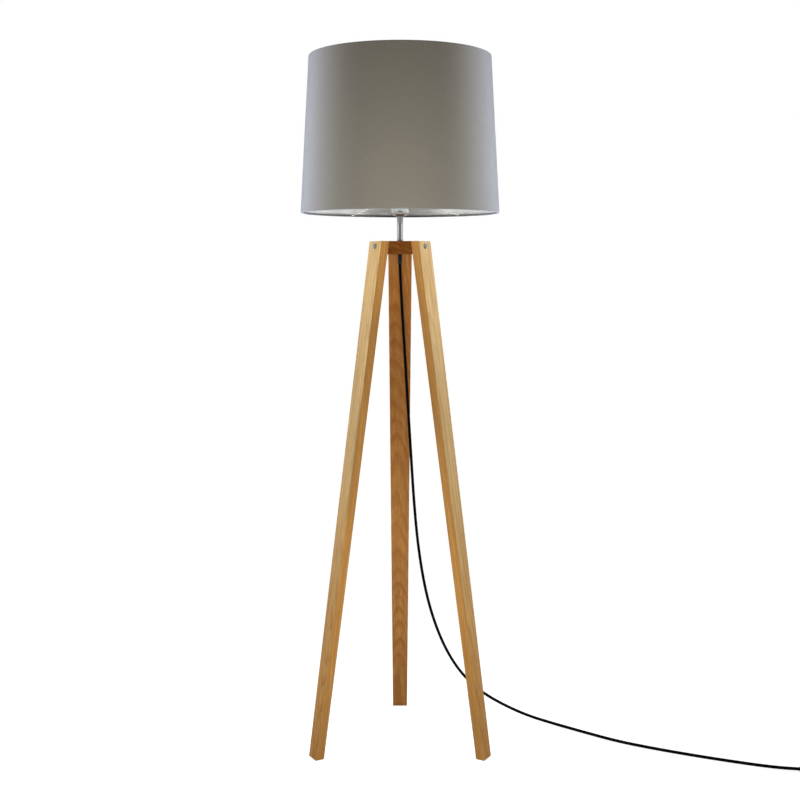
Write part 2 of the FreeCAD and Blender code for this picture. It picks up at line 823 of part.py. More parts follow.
def make_shade():
    """Make the shade: fabric with turned-in hems, lining, two wires, centre ring and arms."""
    low = "fabric_thickness"
    high = "shade_height - fabric_thickness"
    lining = [("shade_bottom_radius - fabric_thickness", low), ("shade_top_radius - fabric_thickness", high),
              ("shade_top_radius - shade_wall", high), ("shade_bottom_radius - shade_wall", low)]
    keep(revolve("shade_lining", lining), "shade_lining", upright("shade_level"))

    fold = "%s - hem_wrap"
    fold_inside = "%s - hem_wrap + fabric_thickness"
    bottom = "shade_bottom_radius"
    top = "shade_top_radius"
    outline = [
        (bottom, "0"), (top, "shade_height"), (fold % top, "shade_height"),
        (fold % top, "shade_height - hem_depth"), (fold_inside % top, "shade_height - hem_depth"),
        (fold_inside % top, high), (top + " - fabric_thickness", high),
        (bottom + " - fabric_thickness", low), (fold_inside % bottom, low),
        (fold_inside % bottom, "hem_depth"), (fold % bottom, "hem_depth"), (fold % bottom, "0"),
    ]
    cloth = revolve("shade_fabric_blank", outline)
    cloth.Placement = upright("shade_level")
    notches = [make_arm("notch_%d" % index, turn, "arm_radius + arm_notch")
               for index, turn in enumerate(ARM_TURNS)]
    keep(cut("shade_fabric_notched", cloth, notches), "shade_fabric")

    make_wire_ring("shade_bottom_wire", "shade_bottom_radius - wire_inset", "wire_rise")
    make_wire_ring("shade_top_wire", "shade_top_radius - wire_inset", "shade_height - (wire_rise)")
    make_ring("spider_ring", "cup_radius + holder_clearance", "spider_ring_radius",
              "spider_ring_thickness", "spider_level")
    arms = [make_arm("arm_%d" % index, turn, "arm_radius") for index, turn in enumerate(ARM_TURNS)]
    keep(group("arm_set", arms), "spider_arms")


# ---------------------------------------------------------------- bulb


def make_bulb():
    """Make the bulb: contact, insulator, cap, housing, board with diodes and globe."""
    place = upright("bulb_level")
    contact = revolve("bulb_contact", [("0", "0"), ("bulb_contact_radius", "0"),
                                       ("bulb_contact_radius", "bulb_contact_height"),
                                       ("0", "bulb_contact_height")])
    keep(contact, "bulb_contact", place)
    step = "(bulb_cap_radius - bulb_cap_wall - bulb_insulator_radius)"
    insulator = revolve("bulb_insulator", [
        ("0", "bulb_contact_height"), ("bulb_contact_radius", "bulb_contact_height"),
        ("bulb_insulator_radius", "bulb_insulator_top - bulb_contact_height"),
        ("bulb_insulator_radius", "bulb_insulator_top"), ("0", "bulb_insulator_top")])
    keep(insulator, "bulb_insulator", place)
    inside = "bulb_cap_radius - bulb_cap_wall"
    cap = revolve("bulb_cap", [
        ("bulb_insulator_radius", "bulb_insulator_top - bulb_contact_height"),
        ("bulb_cap_radius", "bulb_insulator_top - bulb_contact_height + " + step),
        ("bulb_cap_radius", "bulb_cap_top"), (inside, "bulb_cap_top"),
        (inside, "bulb_insulator_top + bulb_cap_wall"), ("bulb_insulator_radius", "bulb_insulator_top")])
    keep(cap, "bulb_cap", place)
    housing = revolve("bulb_housing", [
        ("bulb_cap_radius - bulb_wall", "bulb_cap_top"), ("bulb_cap_radius", "bulb_cap_top"),
        ("bulb_neck_radius", "bulb_cap_top + bulb_wall"), ("bulb_neck_radius", "bulb_neck_top"),
        ("bulb_radius", "bulb_shoulder"), ("bulb_radius - bulb_wall", "bulb_shoulder"),
        ("bulb_neck_radius - bulb_wall", "bulb_neck_top")])
    keep(housing, "bulb_housing", place)
    board = cylinder("board_disc", "board_radius", "board_thickness", upright("bulb_level + board_level"))
    diodes = []
    for index in range(DIODES):
        spot = point("diode_circle", "0", "bulb_level + board_level + board_thickness")
        around = turned(Z_AXIS, index * FULL_TURN / DIODES)
        place_here = around.multiply(FreeCAD.Placement(spot, FreeCAD.Rotation()))
        diodes.append(box("diode_%d" % index, "diode_width", "diode_width", "diode_height", place_here))
    keep(fuse("board_with_diodes", [board] + diodes), "bulb_board")
    outside = [("0", "bulb_height"), ("bulb_radius", "bulb_height"), ("bulb_radius", "bulb_shoulder"),
               ("bulb_radius - bulb_wall", "bulb_shoulder"),
               ("bulb_radius - bulb_wall", "bulb_height - bulb_wall"), ("0", "bulb_height - bulb_wall")]
    rounds = [("bulb_radius", "bulb_height", "bulb_dome"),
              ("bulb_radius - bulb_wall", "bulb_height - bulb_wall", "bulb_dome - bulb_wall")]
    keep(revolve("bulb_globe", outside, rounds), "bulb_globe", place)


# ---------------------------------------------------------------- cord and wiring


def soft_path(route):
    """Join a route's straight runs by tangent arcs, and return the wire and the arcs' radii.

    Each arc takes the same share of the shorter run beside its point.
    """
    spots = [FreeCAD.Vector(*spot) for spot in route]
    edges = []
    radii = []
    start = spots[0]
    for before, corner, after in zip(spots, spots[1:], spots[2:]):
        coming = (corner - before).normalize()
        going = (after - corner).normalize()
        half_turn = coming.getAngle(going) / 2
        reach = ARC_SHARE * min((corner - before).Length, (after - corner).Length)
        radius = reach / math.tan(half_turn)
        inward = (going - coming).normalize()
        crown = corner + inward * (radius / math.cos(half_turn) - radius)
        arc_start = corner - coming * reach
        arc_end = corner + going * reach
        edges.append(Part.LineSegment(start, arc_start).toShape())
        edges.append(Part.Arc(arc_start, crown, arc_end).toShape())
        radii.append(radius)
        start = arc_end
    edges.append(Part.LineSegment(start, spots[-1]).toShape())
    return Part.Wire(edges), radii


def make_tube(name, route, radius):
    """Sweep a round section along a route of runs and arcs, and compare its volume."""
    wire, radii = soft_path(route)
    path = doc.addObject("Part::Feature", name + "_path")
    path.Shape = wire
    section = doc.addObject("Part::Circle", name + "_section")
    bind(section, "Radius", radius)
    spots = [FreeCAD.Vector(*spot) for spot in route[:2]]
    section.Placement = aimed(spots[0], spots[1] - spots[0])
    tube = doc.addObject("Part::Sweep", name)
    tube.Sections = [section]
    tube.Spine = (path, ["Edge%d" % (index + 1) for index in range(len(wire.Edges))])
    tube.Solid = True
    tube.Frenet = False
    doc.recompute()
    expected = math.pi * value(radius) ** 2 * wire.Length
    if abs(tube.Shape.Volume / expected - 1) > VOLUME_SHARE:
        raise ValueError("the volume of %s is wrong" % name)
    print("%s: length %.1f mm, smallest radius %.1f mm" % (name, wire.Length, min(radii)))
    print("   radii " + " ".join("%.0f" % size for size in radii))
    return tube


def make_wiring():
    """Make the lead inside the threaded tube and its two cores up to the terminals."""
    top = "tube_top + lead_proud"
    bottom = "block_bottom - bushing_length - bushing_taper"
    lead = cylinder("lead", "cord_radius", "%s - (%s)" % (top, bottom), upright(bottom))
    keep(lead, "inner_lead")
    cores = []
    for side, sign in (("left", -1), ("right", 1)):
        near = sign * value("core_radius + core_gap / 2")
        far = sign * value("terminal_offset")
        terminal = value("base_level - terminal_below")
        start = value(top)
        climb = (terminal - start) * UPRIGHT_SHARE
        route = [(near, 0, start), (near, 0, start + climb), (far, 0, terminal - climb), (far, 0, terminal)]
        cores.append(make_tube(side + "_core", route, "core_radius"))
    keep(group("core_set", cores), "inner_cores")


def make_cord():
    """Make the free cord: three tubes, the coil between the last two, and its tie."""
    keep(make_tube("cord_to_switch", CORD_TO_SWITCH, "cord_radius"), "cord_to_switch")
    keep(make_tube("cord_to_coil", CORD_TO_COIL, "cord_radius"), "cord_to_coil")
    keep(make_tube("cord_to_plug", CORD_TO_PLUG, "cord_radius"), "cord_to_plug")

    centre = FreeCAD.Vector(COIL_CENTRE[0], COIL_CENTRE[1], value("coil_lift"))
    place = FreeCAD.Placement(centre, FreeCAD.Rotation())
    inner = "coil_inner - cord_radius"
    outer = "coil_outer + cord_radius"
    corners = [(inner, "0"), (outer, "0"), (outer, "coil_height"), (inner, "coil_height")]
    rounds = [(radius, height, "coil_edge") for radius in (inner, outer) for height in ("0", "coil_height")]
    keep(revolve("cord_coil", corners, rounds), "cord_coil", place)

    span = "coil_outer - coil_inner + 2 * cord_radius"
    middle = "(coil_outer + coil_inner) / 2"
    band = FreeCAD.Placement(centre + point("-" + middle, "0", "-coil_lift"), FreeCAD.Rotation())
    outside = box("tie_outside", span + " + 2 * (tie_gap + tie_thickness)", "tie_width",
                  "coil_height + coil_lift + tie_gap + tie_thickness", band)
    hollow = FreeCAD.Placement(centre + point("-" + middle, "0", "0"), FreeCAD.Rotation())
    inside = box("tie_inside", span + " + 2 * tie_gap", "tie_width", "coil_height + tie_gap", hollow)
    keep(cut("tie_band", outside, [inside]), "coil_tie")


# ---------------------------------------------------------------- foot switch


def switch_place():
    """Return the foot switch's frame: midway between the two cord ends, X along the cord."""
    entry = FreeCAD.Vector(*CORD_TO_SWITCH[-1])
    leaving = FreeCAD.Vector(*CORD_TO_COIL[0])
    middle = (entry + leaving) * 0.5
    heading = math.degrees(math.atan2(leaving.y - entry.y, leaving.x - entry.x))
    return turned(Z_AXIS, heading, FreeCAD.Vector(middle.x, middle.y, 0))


def in_switch(along_x, along_y, along_z):
    """Return a frame inside the switch, moved by three expressions."""
    return switch_place().multiply(FreeCAD.Placement(point(along_x, along_y, along_z), FreeCAD.Rotation()))


def make_switch_base():
    """Make the base plate with a groove for the contact strips and two screw holes."""
    corners = [("0", "0"), ("switch_radius", "0"), ("switch_radius", "switch_base"), ("0", "switch_base")]
    plate = revolve("switch_plate", corners)
    plate.Placement = switch_place()
    tools = []
    for side, sign in (("in", "-"), ("out", "")):
        middle = sign + "(post_offset - post_radius + strip_length / 2)"
        tools.append(box(side + "_groove", "strip_length", "strip_width", "strip_thickness",
                         in_switch(middle, "0", "switch_base - strip_thickness")))
    for side, sign in (("near", "-"), ("far", "")):
        tools.append(cylinder(side + "_screw_hole", "screw_radius", "switch_base",
                              in_switch("0", sign + "pillar_offset", "0")))
        tools.append(cylinder(side + "_head_hole", "screw_head_radius", "screw_head_height",
                              in_switch("0", sign + "pillar_offset", "0")))
    keep(cut("switch_base_cut", plate, tools), "switch_base")


def make_switch_cover():
    """Make the domed cover with its two pillars, the button's hole and the cord's two entries."""
    inside = "switch_radius - switch_wall"
    ceiling = "switch_height - switch_wall"
    corners = [(inside, "switch_base"), ("switch_radius", "switch_base"), ("switch_radius", "switch_height"),
               ("button_hole", "switch_height"), ("button_hole", ceiling), (inside, ceiling)]
    rounds = [("switch_radius", "switch_height", "switch_round"),
              (inside, ceiling, "switch_round - switch_wall")]
    dome = revolve("switch_dome", corners, rounds)
    dome.Placement = switch_place()
    members = [dome]
    for side, sign in (("near", "-"), ("far", "")):
        members.append(cylinder(side + "_pillar", "pillar_radius", ceiling + " - switch_base",
                                in_switch("0", sign + "pillar_offset", "switch_base")))
    whole = fuse("switch_cover_whole", members)
    across = turned(Y_AXIS, 90)
    start = in_switch("-2 * switch_radius", "0", "switch_entry")
    tools = [cylinder("cord_entries", "cord_radius", "4 * switch_radius", start.multiply(across))]
    for side, sign in (("near", "-"), ("far", "")):
        tools.append(cylinder(side + "_pilot", "screw_radius", "screw_length",
                              in_switch("0", sign + "pillar_offset", "0")))
    doc.recompute()
    keep(cut("switch_cover_cut", whole, tools), "switch_cover")


def make_switch_works():
    """Make the button, the contact bridge under it, the spring, the strips and the screws."""
    wall = "button_radius - button_wall"
    flange = "button_radius + button_flange"
    corners = [
        ("0", "bridge_level + bridge_thickness"), ("button_stem", "bridge_level + bridge_thickness"),
        ("button_stem", "button_ceiling"), (wall, "button_ceiling"), (wall, "button_foot"),
        (flange, "button_foot"), (flange, "button_stop"), ("button_radius", "button_stop"),
        ("button_radius", "button_top"), ("0", "button_top"),
    ]
    rounds = [("button_radius", "button_top", "button_round")]
    keep(revolve("switch_button", corners, rounds), "switch_button", switch_place())
    bridge = box("contact_bridge", "bridge_length", "bridge_width", "bridge_thickness",
                 in_switch("0", "0", "bridge_level"))
    keep(bridge, "switch_bridge")

    strips = []
    for side, sign in (("in", "-"), ("out", "")):
        middle = sign + "(post_offset - post_radius + strip_length / 2)"
        strip = box(side + "_strip", "strip_length", "strip_width", "strip_thickness",
                    in_switch(middle, "0", "switch_base - strip_thickness"))
        post = cylinder(side + "_post", "post_radius", "post_top - switch_base + strip_thickness",
                        in_switch(sign + "post_offset", "0", "switch_base - strip_thickness"))
        strips.append(fuse(side + "_contact", [strip, post]))
    keep(group("strip_set", strips), "switch_contacts")

    screws = []
    for side, sign in (("near", "-"), ("far", "")):
        shank = cylinder(side + "_shank", "screw_radius", "screw_length",
                         in_switch("0", sign + "pillar_offset", "0"))
        head = cylinder(side + "_head", "screw_head_radius", "screw_head_height",
                        in_switch("0", sign + "pillar_offset", "0"))
        screws.append(fuse(side + "_screw", [shank, head]))
    keep(group("screw_set", screws), "switch_screws")


def make_switch_spring():
    """Make the spring that lifts the button: a round wire wound between base and button."""
    helix = doc.addObject("Part::Helix", "spring_path")
    room = "(button_ceiling - switch_base - 2 * spring_wire)"
    bind(helix, "Radius", "spring_radius")
    bind(helix, "Height", room)
    bind(helix, "Pitch", room + " / spring_turns")
    section = doc.addObject("Part::Circle", "spring_section")
    bind(section, "Radius", "spring_wire")
    section.Placement = aimed(point("spring_radius", "0", "0"), Y_AXIS)
    spring = doc.addObject("Part::Sweep", "switch_spring")
    spring.Sections = [section]
    spring.Spine = (helix, ["Edge1"])
    spring.Solid = True
    spring.Frenet = True
    keep(spring, "switch_spring", in_switch("0", "0", "switch_base + spring_wire"))


def make_switch():
    """Make the foot switch."""
    make_switch_base()
    make_switch_cover()
    make_switch_works()
    make_switch_spring()


# ---------------------------------------------------------------- plug


def plug_place():
    """Return the plug's frame: the cord enters it along +Y, at half its thickness."""
    last = FreeCAD.Vector(*CORD_TO_PLUG[-1])
    heading = last - FreeCAD.Vector(*CORD_TO_PLUG[-2])
    turn = math.degrees(math.atan2(heading.y, heading.x)) - 90
    return turned(Z_AXIS, turn, FreeCAD.Vector(last.x, last.y, value("plug_thickness / 2")))


def make_plug():
    """Make the flat two-pin plug with its moulded boot."""
    start = "boot_length - cord_in_boot"
    face = start + " + plug_length"
    shoulder = face + " - plug_face_length"
    body = new_body("plug_block")
    corners = [("-plug_waist / 2", start), ("plug_waist / 2", start), ("plug_width / 2", shoulder),
               ("plug_width / 2", face), ("-plug_width / 2", face), ("-plug_width / 2", shoulder)]
    feature = pad(body, "XY_Plane", corners, "plug_thickness", symmetric=True)
    names = ["Edge%d" % (index + 1) for index in range(len(feature.Shape.Edges))]
    round_edges(body, feature, names, "plug_round")

    boot_end = "boot_length + plug_round"
    boot = revolve("plug_boot", [("0", "0"), ("boot_tip", "0"), ("boot_radius", "boot_length"),
                                 ("boot_radius", boot_end), ("0", boot_end)])
    boot.Placement = turned(X_AXIS, -90, point("0", "-cord_in_boot", "0"))
    whole = fuse("plug_whole", [body, boot])
    tools = [cylinder("plug_bore", "cord_radius", "cord_in_boot",
                      turned(X_AXIS, -90, point("0", "-cord_in_boot", "0")))]
    pins = []
    for side, sign in (("left", "-"), ("right", "")):
        spot = point(sign + "pin_spacing / 2", face + " - pin_root", "0")
        tools.append(cylinder(side + "_pin_hole", "pin_radius", "pin_root + plug_round",
                              turned(X_AXIS, -90, spot)))
        tip = "pin_root + pin_length"
        pin = revolve(side + "_pin", [("0", "0"), ("pin_radius", "0"), ("pin_radius", tip), ("0", tip)],
                      [("pin_radius", tip, "pin_round")])
        pin.Placement = turned(X_AXIS, -90, spot)
        pins.append(pin)
    doc.recompute()
    place = plug_place()
    keep(cut("plug_bored", whole, tools), "plug_body", place)
    keep(group("pin_set", pins), "plug_pins", place)


# ---------------------------------------------------------------- whole lamp


def check_and_write():
    """Check every object of the document and write each piece to its own file."""
    doc.recompute()
    for item in doc.Objects:
        if "Invalid" in item.State or "Error" in item.State:
            raise ValueError("%s failed: %s" % (item.Label, item.State))
    for item in pieces:
        if item.Shape.isNull() or not item.Shape.isValid() or not item.Shape.Solids:
            raise ValueError(item.Label + " has no valid solid")
    os.makedirs("parts", exist_ok=True)
    for item in pieces:
        item.Shape.exportStep(os.path.join("parts", item.Label + ".step"))
    print("%d pieces written" % len(pieces))


fill_sheet()
make_head_block()
make_legs()
make_fasteners()
make_stem()
make_bushing()
make_lampholder()
make_shade()
make_bulb()
make_wiring()
make_cord()
make_switch()
make_plug()
check_and_write()
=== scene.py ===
"""Looks of a tripod floor lamp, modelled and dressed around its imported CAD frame.

Everything is in metres, with +Z up, the origin on the floor on the lamp's upright axis, and the
front of the lamp facing -Y. One leg stands at the rear, and the mains cord runs away towards +X.
Pieces whose CAD shape is final keep it and get a finish. The others are modelled here.
"""

import sys

import logging
import math
from collections.abc import Callable, Sequence
from dataclasses import dataclass, field
from enum import Enum

import bmesh
import bpy
from mathutils import Matrix, Vector


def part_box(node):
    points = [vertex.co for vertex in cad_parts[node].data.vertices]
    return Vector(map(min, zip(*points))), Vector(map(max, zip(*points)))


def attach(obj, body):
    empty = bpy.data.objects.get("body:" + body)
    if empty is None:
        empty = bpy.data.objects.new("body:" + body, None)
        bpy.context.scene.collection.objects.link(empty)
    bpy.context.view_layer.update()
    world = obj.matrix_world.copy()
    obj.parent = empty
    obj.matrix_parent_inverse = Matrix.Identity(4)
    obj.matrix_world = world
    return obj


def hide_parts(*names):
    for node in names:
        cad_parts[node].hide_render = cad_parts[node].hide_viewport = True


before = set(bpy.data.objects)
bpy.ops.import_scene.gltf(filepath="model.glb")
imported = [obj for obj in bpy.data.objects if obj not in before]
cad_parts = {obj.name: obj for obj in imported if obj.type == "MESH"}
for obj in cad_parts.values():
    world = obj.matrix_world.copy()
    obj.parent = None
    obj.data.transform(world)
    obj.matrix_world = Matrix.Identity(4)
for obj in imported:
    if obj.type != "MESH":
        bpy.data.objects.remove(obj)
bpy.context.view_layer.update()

MM = 0.001
FULL_TURN = 2 * math.pi
LAMP_BODY = "lamp"

log = logging.getLogger("floor_lamp")

Value = float | Sequence[float] | bpy.types.NodeSocket
Place = tuple[float, float, float]


class Part(Enum):
    """The parts of a mesh that an edit can pick."""

    VERTS = "verts"
    EDGES = "edges"
    FACES = "faces"


# ---------------------------------------------------------------- writing node trees


class Graph:
    """A node tree being written, with short calls for the nodes that the finishes use."""

    def __init__(self, tree: bpy.types.NodeTree) -> None:
        """Take the tree that nodes are added to."""
        self.tree = tree

    def node(self, kind: str, **settings: object) -> bpy.types.Node:
        """Add a node and set its own properties.

        Args:
            kind: Blender's name of the node type.
            settings: Properties of the node, by name.

        Returns:
            The new node.
        """
        made = self.tree.nodes.new(kind)
        for name, setting in settings.items():
            setattr(made, name, setting)
        return made

    def give(self, target: bpy.types.NodeSocket, value: Value) -> None:
        """Link an output to an input socket, or set the socket to a plain value.

        Args:
            target: The input socket.
            value: An output socket to link, or a number, vector or colour.
        """
        if isinstance(value, bpy.types.NodeSocket):
            self.tree.links.new(value, target)
        else:
            target.default_value = value

    def math(self, operation: str, *values: Value) -> bpy.types.NodeSocket:
        """Work out a number.

        Args:
            operation: Blender's name of the operation.
            values: Its operands, in order.

        Returns:
            The socket that holds the result.
        """
        node = self.node("ShaderNodeMath", operation=operation)
        for socket, value in zip(node.inputs, values):
            self.give(socket, value)
        return node.outputs[0]

    def clamp_range(self, value: Value, low: float, high: float, to_low: float = 0.0, to_high: float = 1.0,
                    smooth: bool = False) -> bpy.types.NodeSocket:
        """Map a number from one range to another and hold it there.

        Args:
            value: The number.
            low: Start of the range that it comes from.
            high: End of the range that it comes from.
            to_low: What the start becomes.
            to_high: What the end becomes.
            smooth: True for a smooth step between the two.

        Returns:
            The socket that holds the mapped number.
        """
        node = self.node("ShaderNodeMapRange", interpolation_type="SMOOTHSTEP" if smooth else "LINEAR")
        for name, given in (("Value", value), ("From Min", low), ("From Max", high), ("To Min", to_low),
                            ("To Max", to_high)):
            self.give(node.inputs[name], given)
        return node.outputs["Result"]

    def scaled(self, vector: Value, scale: Sequence[float]) -> bpy.types.NodeSocket:
        """Stretch a vector by a factor on each axis."""
        node = self.node("ShaderNodeVectorMath", operation="MULTIPLY")
        self.give(node.inputs[0], vector)
        self.give(node.inputs[1], scale)
        return node.outputs["Vector"]

    def noise(self, vector: Value, scale: float, detail: float = 2.0, roughness: float = 0.5,
              distortion: float = 0.0) -> bpy.types.NodeSocket:
        """Add smooth noise.

        Args:
            vector: Where the noise is read.
            scale: Cells per metre.
            detail: Octaves added on the first.
            roughness: Strength of each next octave.
            distortion: How far the noise bends itself.

        Returns:
            The socket that holds the noise, from 0 to 1.
        """
        node = self.node("ShaderNodeTexNoise", noise_dimensions="3D")
        for name, given in (("Vector", vector), ("Scale", scale), ("Detail", detail),
                            ("Roughness", roughness), ("Distortion", distortion)):
            self.give(node.inputs[name], given)
        return node.outputs["Fac"]

    def mix(self, factor: Value, first: Value, second: Value, blend: str = "MIX") -> bpy.types.NodeSocket:
        """Mix two colours.

        Args:
            factor: Share of the second colour.
            first: The first colour.
            second: The second colour.
            blend: How the second is laid over the first.

        Returns:
            The socket that holds the mixed colour.
        """
        node = self.node("ShaderNodeMix", data_type="RGBA", blend_type=blend, clamp_factor=True)
        colours = [socket for socket in node.inputs if socket.type == "RGBA"]
        self.give(node.inputs[0], factor)
        self.give(colours[0], first)
        self.give(colours[1], second)
        return next(socket for socket in node.outputs if socket.type == "RGBA")


def opaque(colour: Sequence[float]) -> tuple[float, float, float, float]:
    """Return a colour of three numbers with full opacity."""
    return (colour[0], colour[1], colour[2], 1.0)


def toned(colour: Sequence[float], share: float, lift: float = 0.0) -> tuple[float, float, float, float]:
    """Return a share of a colour, lifted by an amount and held below 1, with full opacity."""
    return opaque([min(1.0, channel * share + lift) for channel in colour])


class EffectGroup:
    """A shared effect: a shader node group with named sockets, built once and placed in many finishes."""

    name = ""
    inputs: dict[str, tuple[str, Value]] = {}
    outputs: dict[str, str] = {}
    made: dict[str, bpy.types.NodeTree] = {}

    def write(self, graph: Graph, given: bpy.types.Node) -> dict[str, bpy.types.NodeSocket]:
        """Write the effect's nodes.

        Args:
            graph: The group's own tree.
            given: The group's input node.

        Returns:
            The socket for each named output.
        """
        raise NotImplementedError

    def tree(self) -> bpy.types.NodeTree:
        """Return the node group, built the first time that it is asked for."""
        if self.name in self.made:
            return self.made[self.name]
        tree = bpy.data.node_groups.new(self.name, "ShaderNodeTree")
        for label, (kind, default) in self.inputs.items():
            socket = tree.interface.new_socket(label, in_out="INPUT", socket_type=kind)
            if kind == "NodeSocketFloat":
                socket.default_value = default
        for label, kind in self.outputs.items():
            tree.interface.new_socket(label, in_out="OUTPUT", socket_type=kind)
        graph = Graph(tree)
        given = graph.node("NodeGroupInput")
        result = graph.node("NodeGroupOutput")
        for label, socket in self.write(graph, given).items():
            graph.give(result.inputs[label], socket)
        self.made[self.name] = tree
        return tree

    def place(self, graph: Graph, **values: Value) -> bpy.types.Node:
        """Place the group in a material.

        Args:
            graph: The material's tree.
            values: Input values by name, with _ for a space.

        Returns:
            The group node, whose outputs are read by name.
        """
        node = graph.node("ShaderNodeGroup", node_tree=self.tree())
        for label, value in values.items():
            graph.give(node.inputs[label.replace("_", " ").title()], value)
        return node


class FineGrain(EffectGroup):
    """The fine uneven skin of moulded, cast and painted surfaces, with faint cloudy marks."""

    name = "fine_grain"
    inputs = {
        "Vector": ("NodeSocketVector", None),
        "Scale": ("NodeSocketFloat", 1500.0),
    }
    outputs = {"Grain": "NodeSocketFloat", "Clouds": "NodeSocketFloat"}

    def write(self, graph: Graph, given: bpy.types.Node) -> dict[str, bpy.types.NodeSocket]:
        """Write the fine grain and the slow clouds."""
        grain = graph.noise(given.outputs["Vector"], 1.0, detail=3.0, roughness=0.6)
        graph.give(grain.node.inputs["Scale"], given.outputs["Scale"])
        clouds = graph.noise(given.outputs["Vector"], 28.0, detail=4.0, roughness=0.55)
        return {"Grain": grain, "Clouds": clouds}


class WoodFigure(EffectGroup):
    """Growth rings, open pores and fibres of a board whose grain runs along the vector's Z."""

    name = "wood_figure"
    inputs = {
        "Vector": ("NodeSocketVector", None),
        "Ring Width": ("NodeSocketFloat", 0.0035),
        "Wander": ("NodeSocketFloat", 0.006),
    }
    outputs = {
        "Rings": "NodeSocketFloat",
        "Pores": "NodeSocketFloat",
        "Fibres": "NodeSocketFloat",
        "Clouds": "NodeSocketFloat",
    }

    def write(self, graph: Graph, given: bpy.types.Node) -> dict[str, bpy.types.NodeSocket]:
        """Write the rings about the pith, then the pores that follow them, and the fibres."""
        vector = given.outputs["Vector"]
        slow = graph.noise(graph.scaled(vector, (9.0, 9.0, 2.6)), 1.0, detail=2.0, roughness=0.45)
        quick = graph.noise(graph.scaled(vector, (60.0, 60.0, 7.0)), 1.0, detail=2.0)
        split = graph.node("ShaderNodeSeparateXYZ")
        graph.give(split.inputs[0], vector)
        across = graph.math("POWER", split.outputs["X"], 2.0)
        deep = graph.math("POWER", split.outputs["Y"], 2.0)
        radius = graph.math("SQRT", graph.math("ADD", across, deep))
        bend = graph.math("MULTIPLY", graph.math("SUBTRACT", slow, 0.5), given.outputs["Wander"])
        ripple = graph.math("MULTIPLY", graph.math("SUBTRACT", quick, 0.5), 0.0016)
        bent = graph.math("ADD", graph.math("ADD", radius, graph.math("MULTIPLY", bend, 4.0)), ripple)
        count = graph.math("DIVIDE", bent, given.outputs["Ring Width"])
        step = graph.math("FRACT", count)
        rise = graph.clamp_range(step, 0.45, 0.97, smooth=True)
        fall = graph.clamp_range(step, 0.0, 0.10, 1.0, 0.0, smooth=True)
        year = graph.node("ShaderNodeTexWhiteNoise", noise_dimensions="1D")
        graph.give(year.inputs["W"], graph.math("FLOOR", count))
        strength = graph.clamp_range(year.outputs["Value"], 0.0, 1.0, 0.45, 1.0)
        rings = graph.math("MULTIPLY", graph.math("MAXIMUM", rise, fall), strength)

        specks = graph.noise(graph.scaled(vector, (2300.0, 2300.0, 70.0)), 1.0, detail=1.0)
        early = graph.clamp_range(step, 0.0, 0.5, 1.0, 0.25)
        pores = graph.math("MULTIPLY", graph.clamp_range(specks, 0.60, 0.72, smooth=True), early)
        fibres = graph.noise(graph.scaled(vector, (700.0, 700.0, 14.0)), 1.0, detail=3.0, roughness=0.6)
        clouds = graph.noise(graph.scaled(vector, (110.0, 110.0, 4.0)), 1.0, detail=3.0)
        return {"Rings": rings, "Pores": pores, "Fibres": fibres, "Clouds": clouds}


class PlainWeave(EffectGroup):
    """Crossing threads of a plain-woven cloth, read from UVs that are in metres."""

    name = "plain_weave"
    inputs = {
        "Vector": ("NodeSocketVector", None),
        "Pitch": ("NodeSocketFloat", 0.0006),
    }
    outputs = {"Height": "NodeSocketFloat", "Slubs": "NodeSocketFloat", "Over": "NodeSocketFloat"}

    def write(self, graph: Graph, given: bpy.types.Node) -> dict[str, bpy.types.NodeSocket]:
        """Write the two sets of threads, which lies over which, and their thick places."""
        vector = given.outputs["Vector"]
        split = graph.node("ShaderNodeSeparateXYZ")
        graph.give(split.inputs[0], vector)
        turns = graph.math("DIVIDE", math.pi, given.outputs["Pitch"])
        along = graph.math("MULTIPLY", split.outputs["X"], turns)
        up = graph.math("MULTIPLY", split.outputs["Y"], turns)
        warp = graph.math("ABSOLUTE", graph.math("SINE", along))
        weft = graph.math("ABSOLUTE", graph.math("SINE", up))
        wave = graph.math("MULTIPLY", graph.math("SINE", graph.math("ADD", along, math.pi / 2)),
                          graph.math("SINE", graph.math("ADD", up, math.pi / 2)))
        over = graph.clamp_range(wave, -0.3, 0.3, smooth=True)
        high = graph.math("MULTIPLY", warp, over)
        low = graph.math("MULTIPLY", weft, graph.math("SUBTRACT", 1.0, over))
        upright = graph.noise(graph.scaled(vector, (1400.0, 22.0, 1.0)), 1.0, detail=2.0)
        level = graph.noise(graph.scaled(vector, (22.0, 1400.0, 1.0)), 1.0, detail=2.0)
        slubs = graph.math("MULTIPLY", graph.math("ADD", upright, level), 0.5)
        return {"Height": graph.math("ADD", high, low), "Slubs": slubs, "Over": over}


FINE_GRAIN = FineGrain()
WOOD_FIGURE = WoodFigure()
PLAIN_WEAVE = PlainWeave()


# ---------------------------------------------------------------- finishes


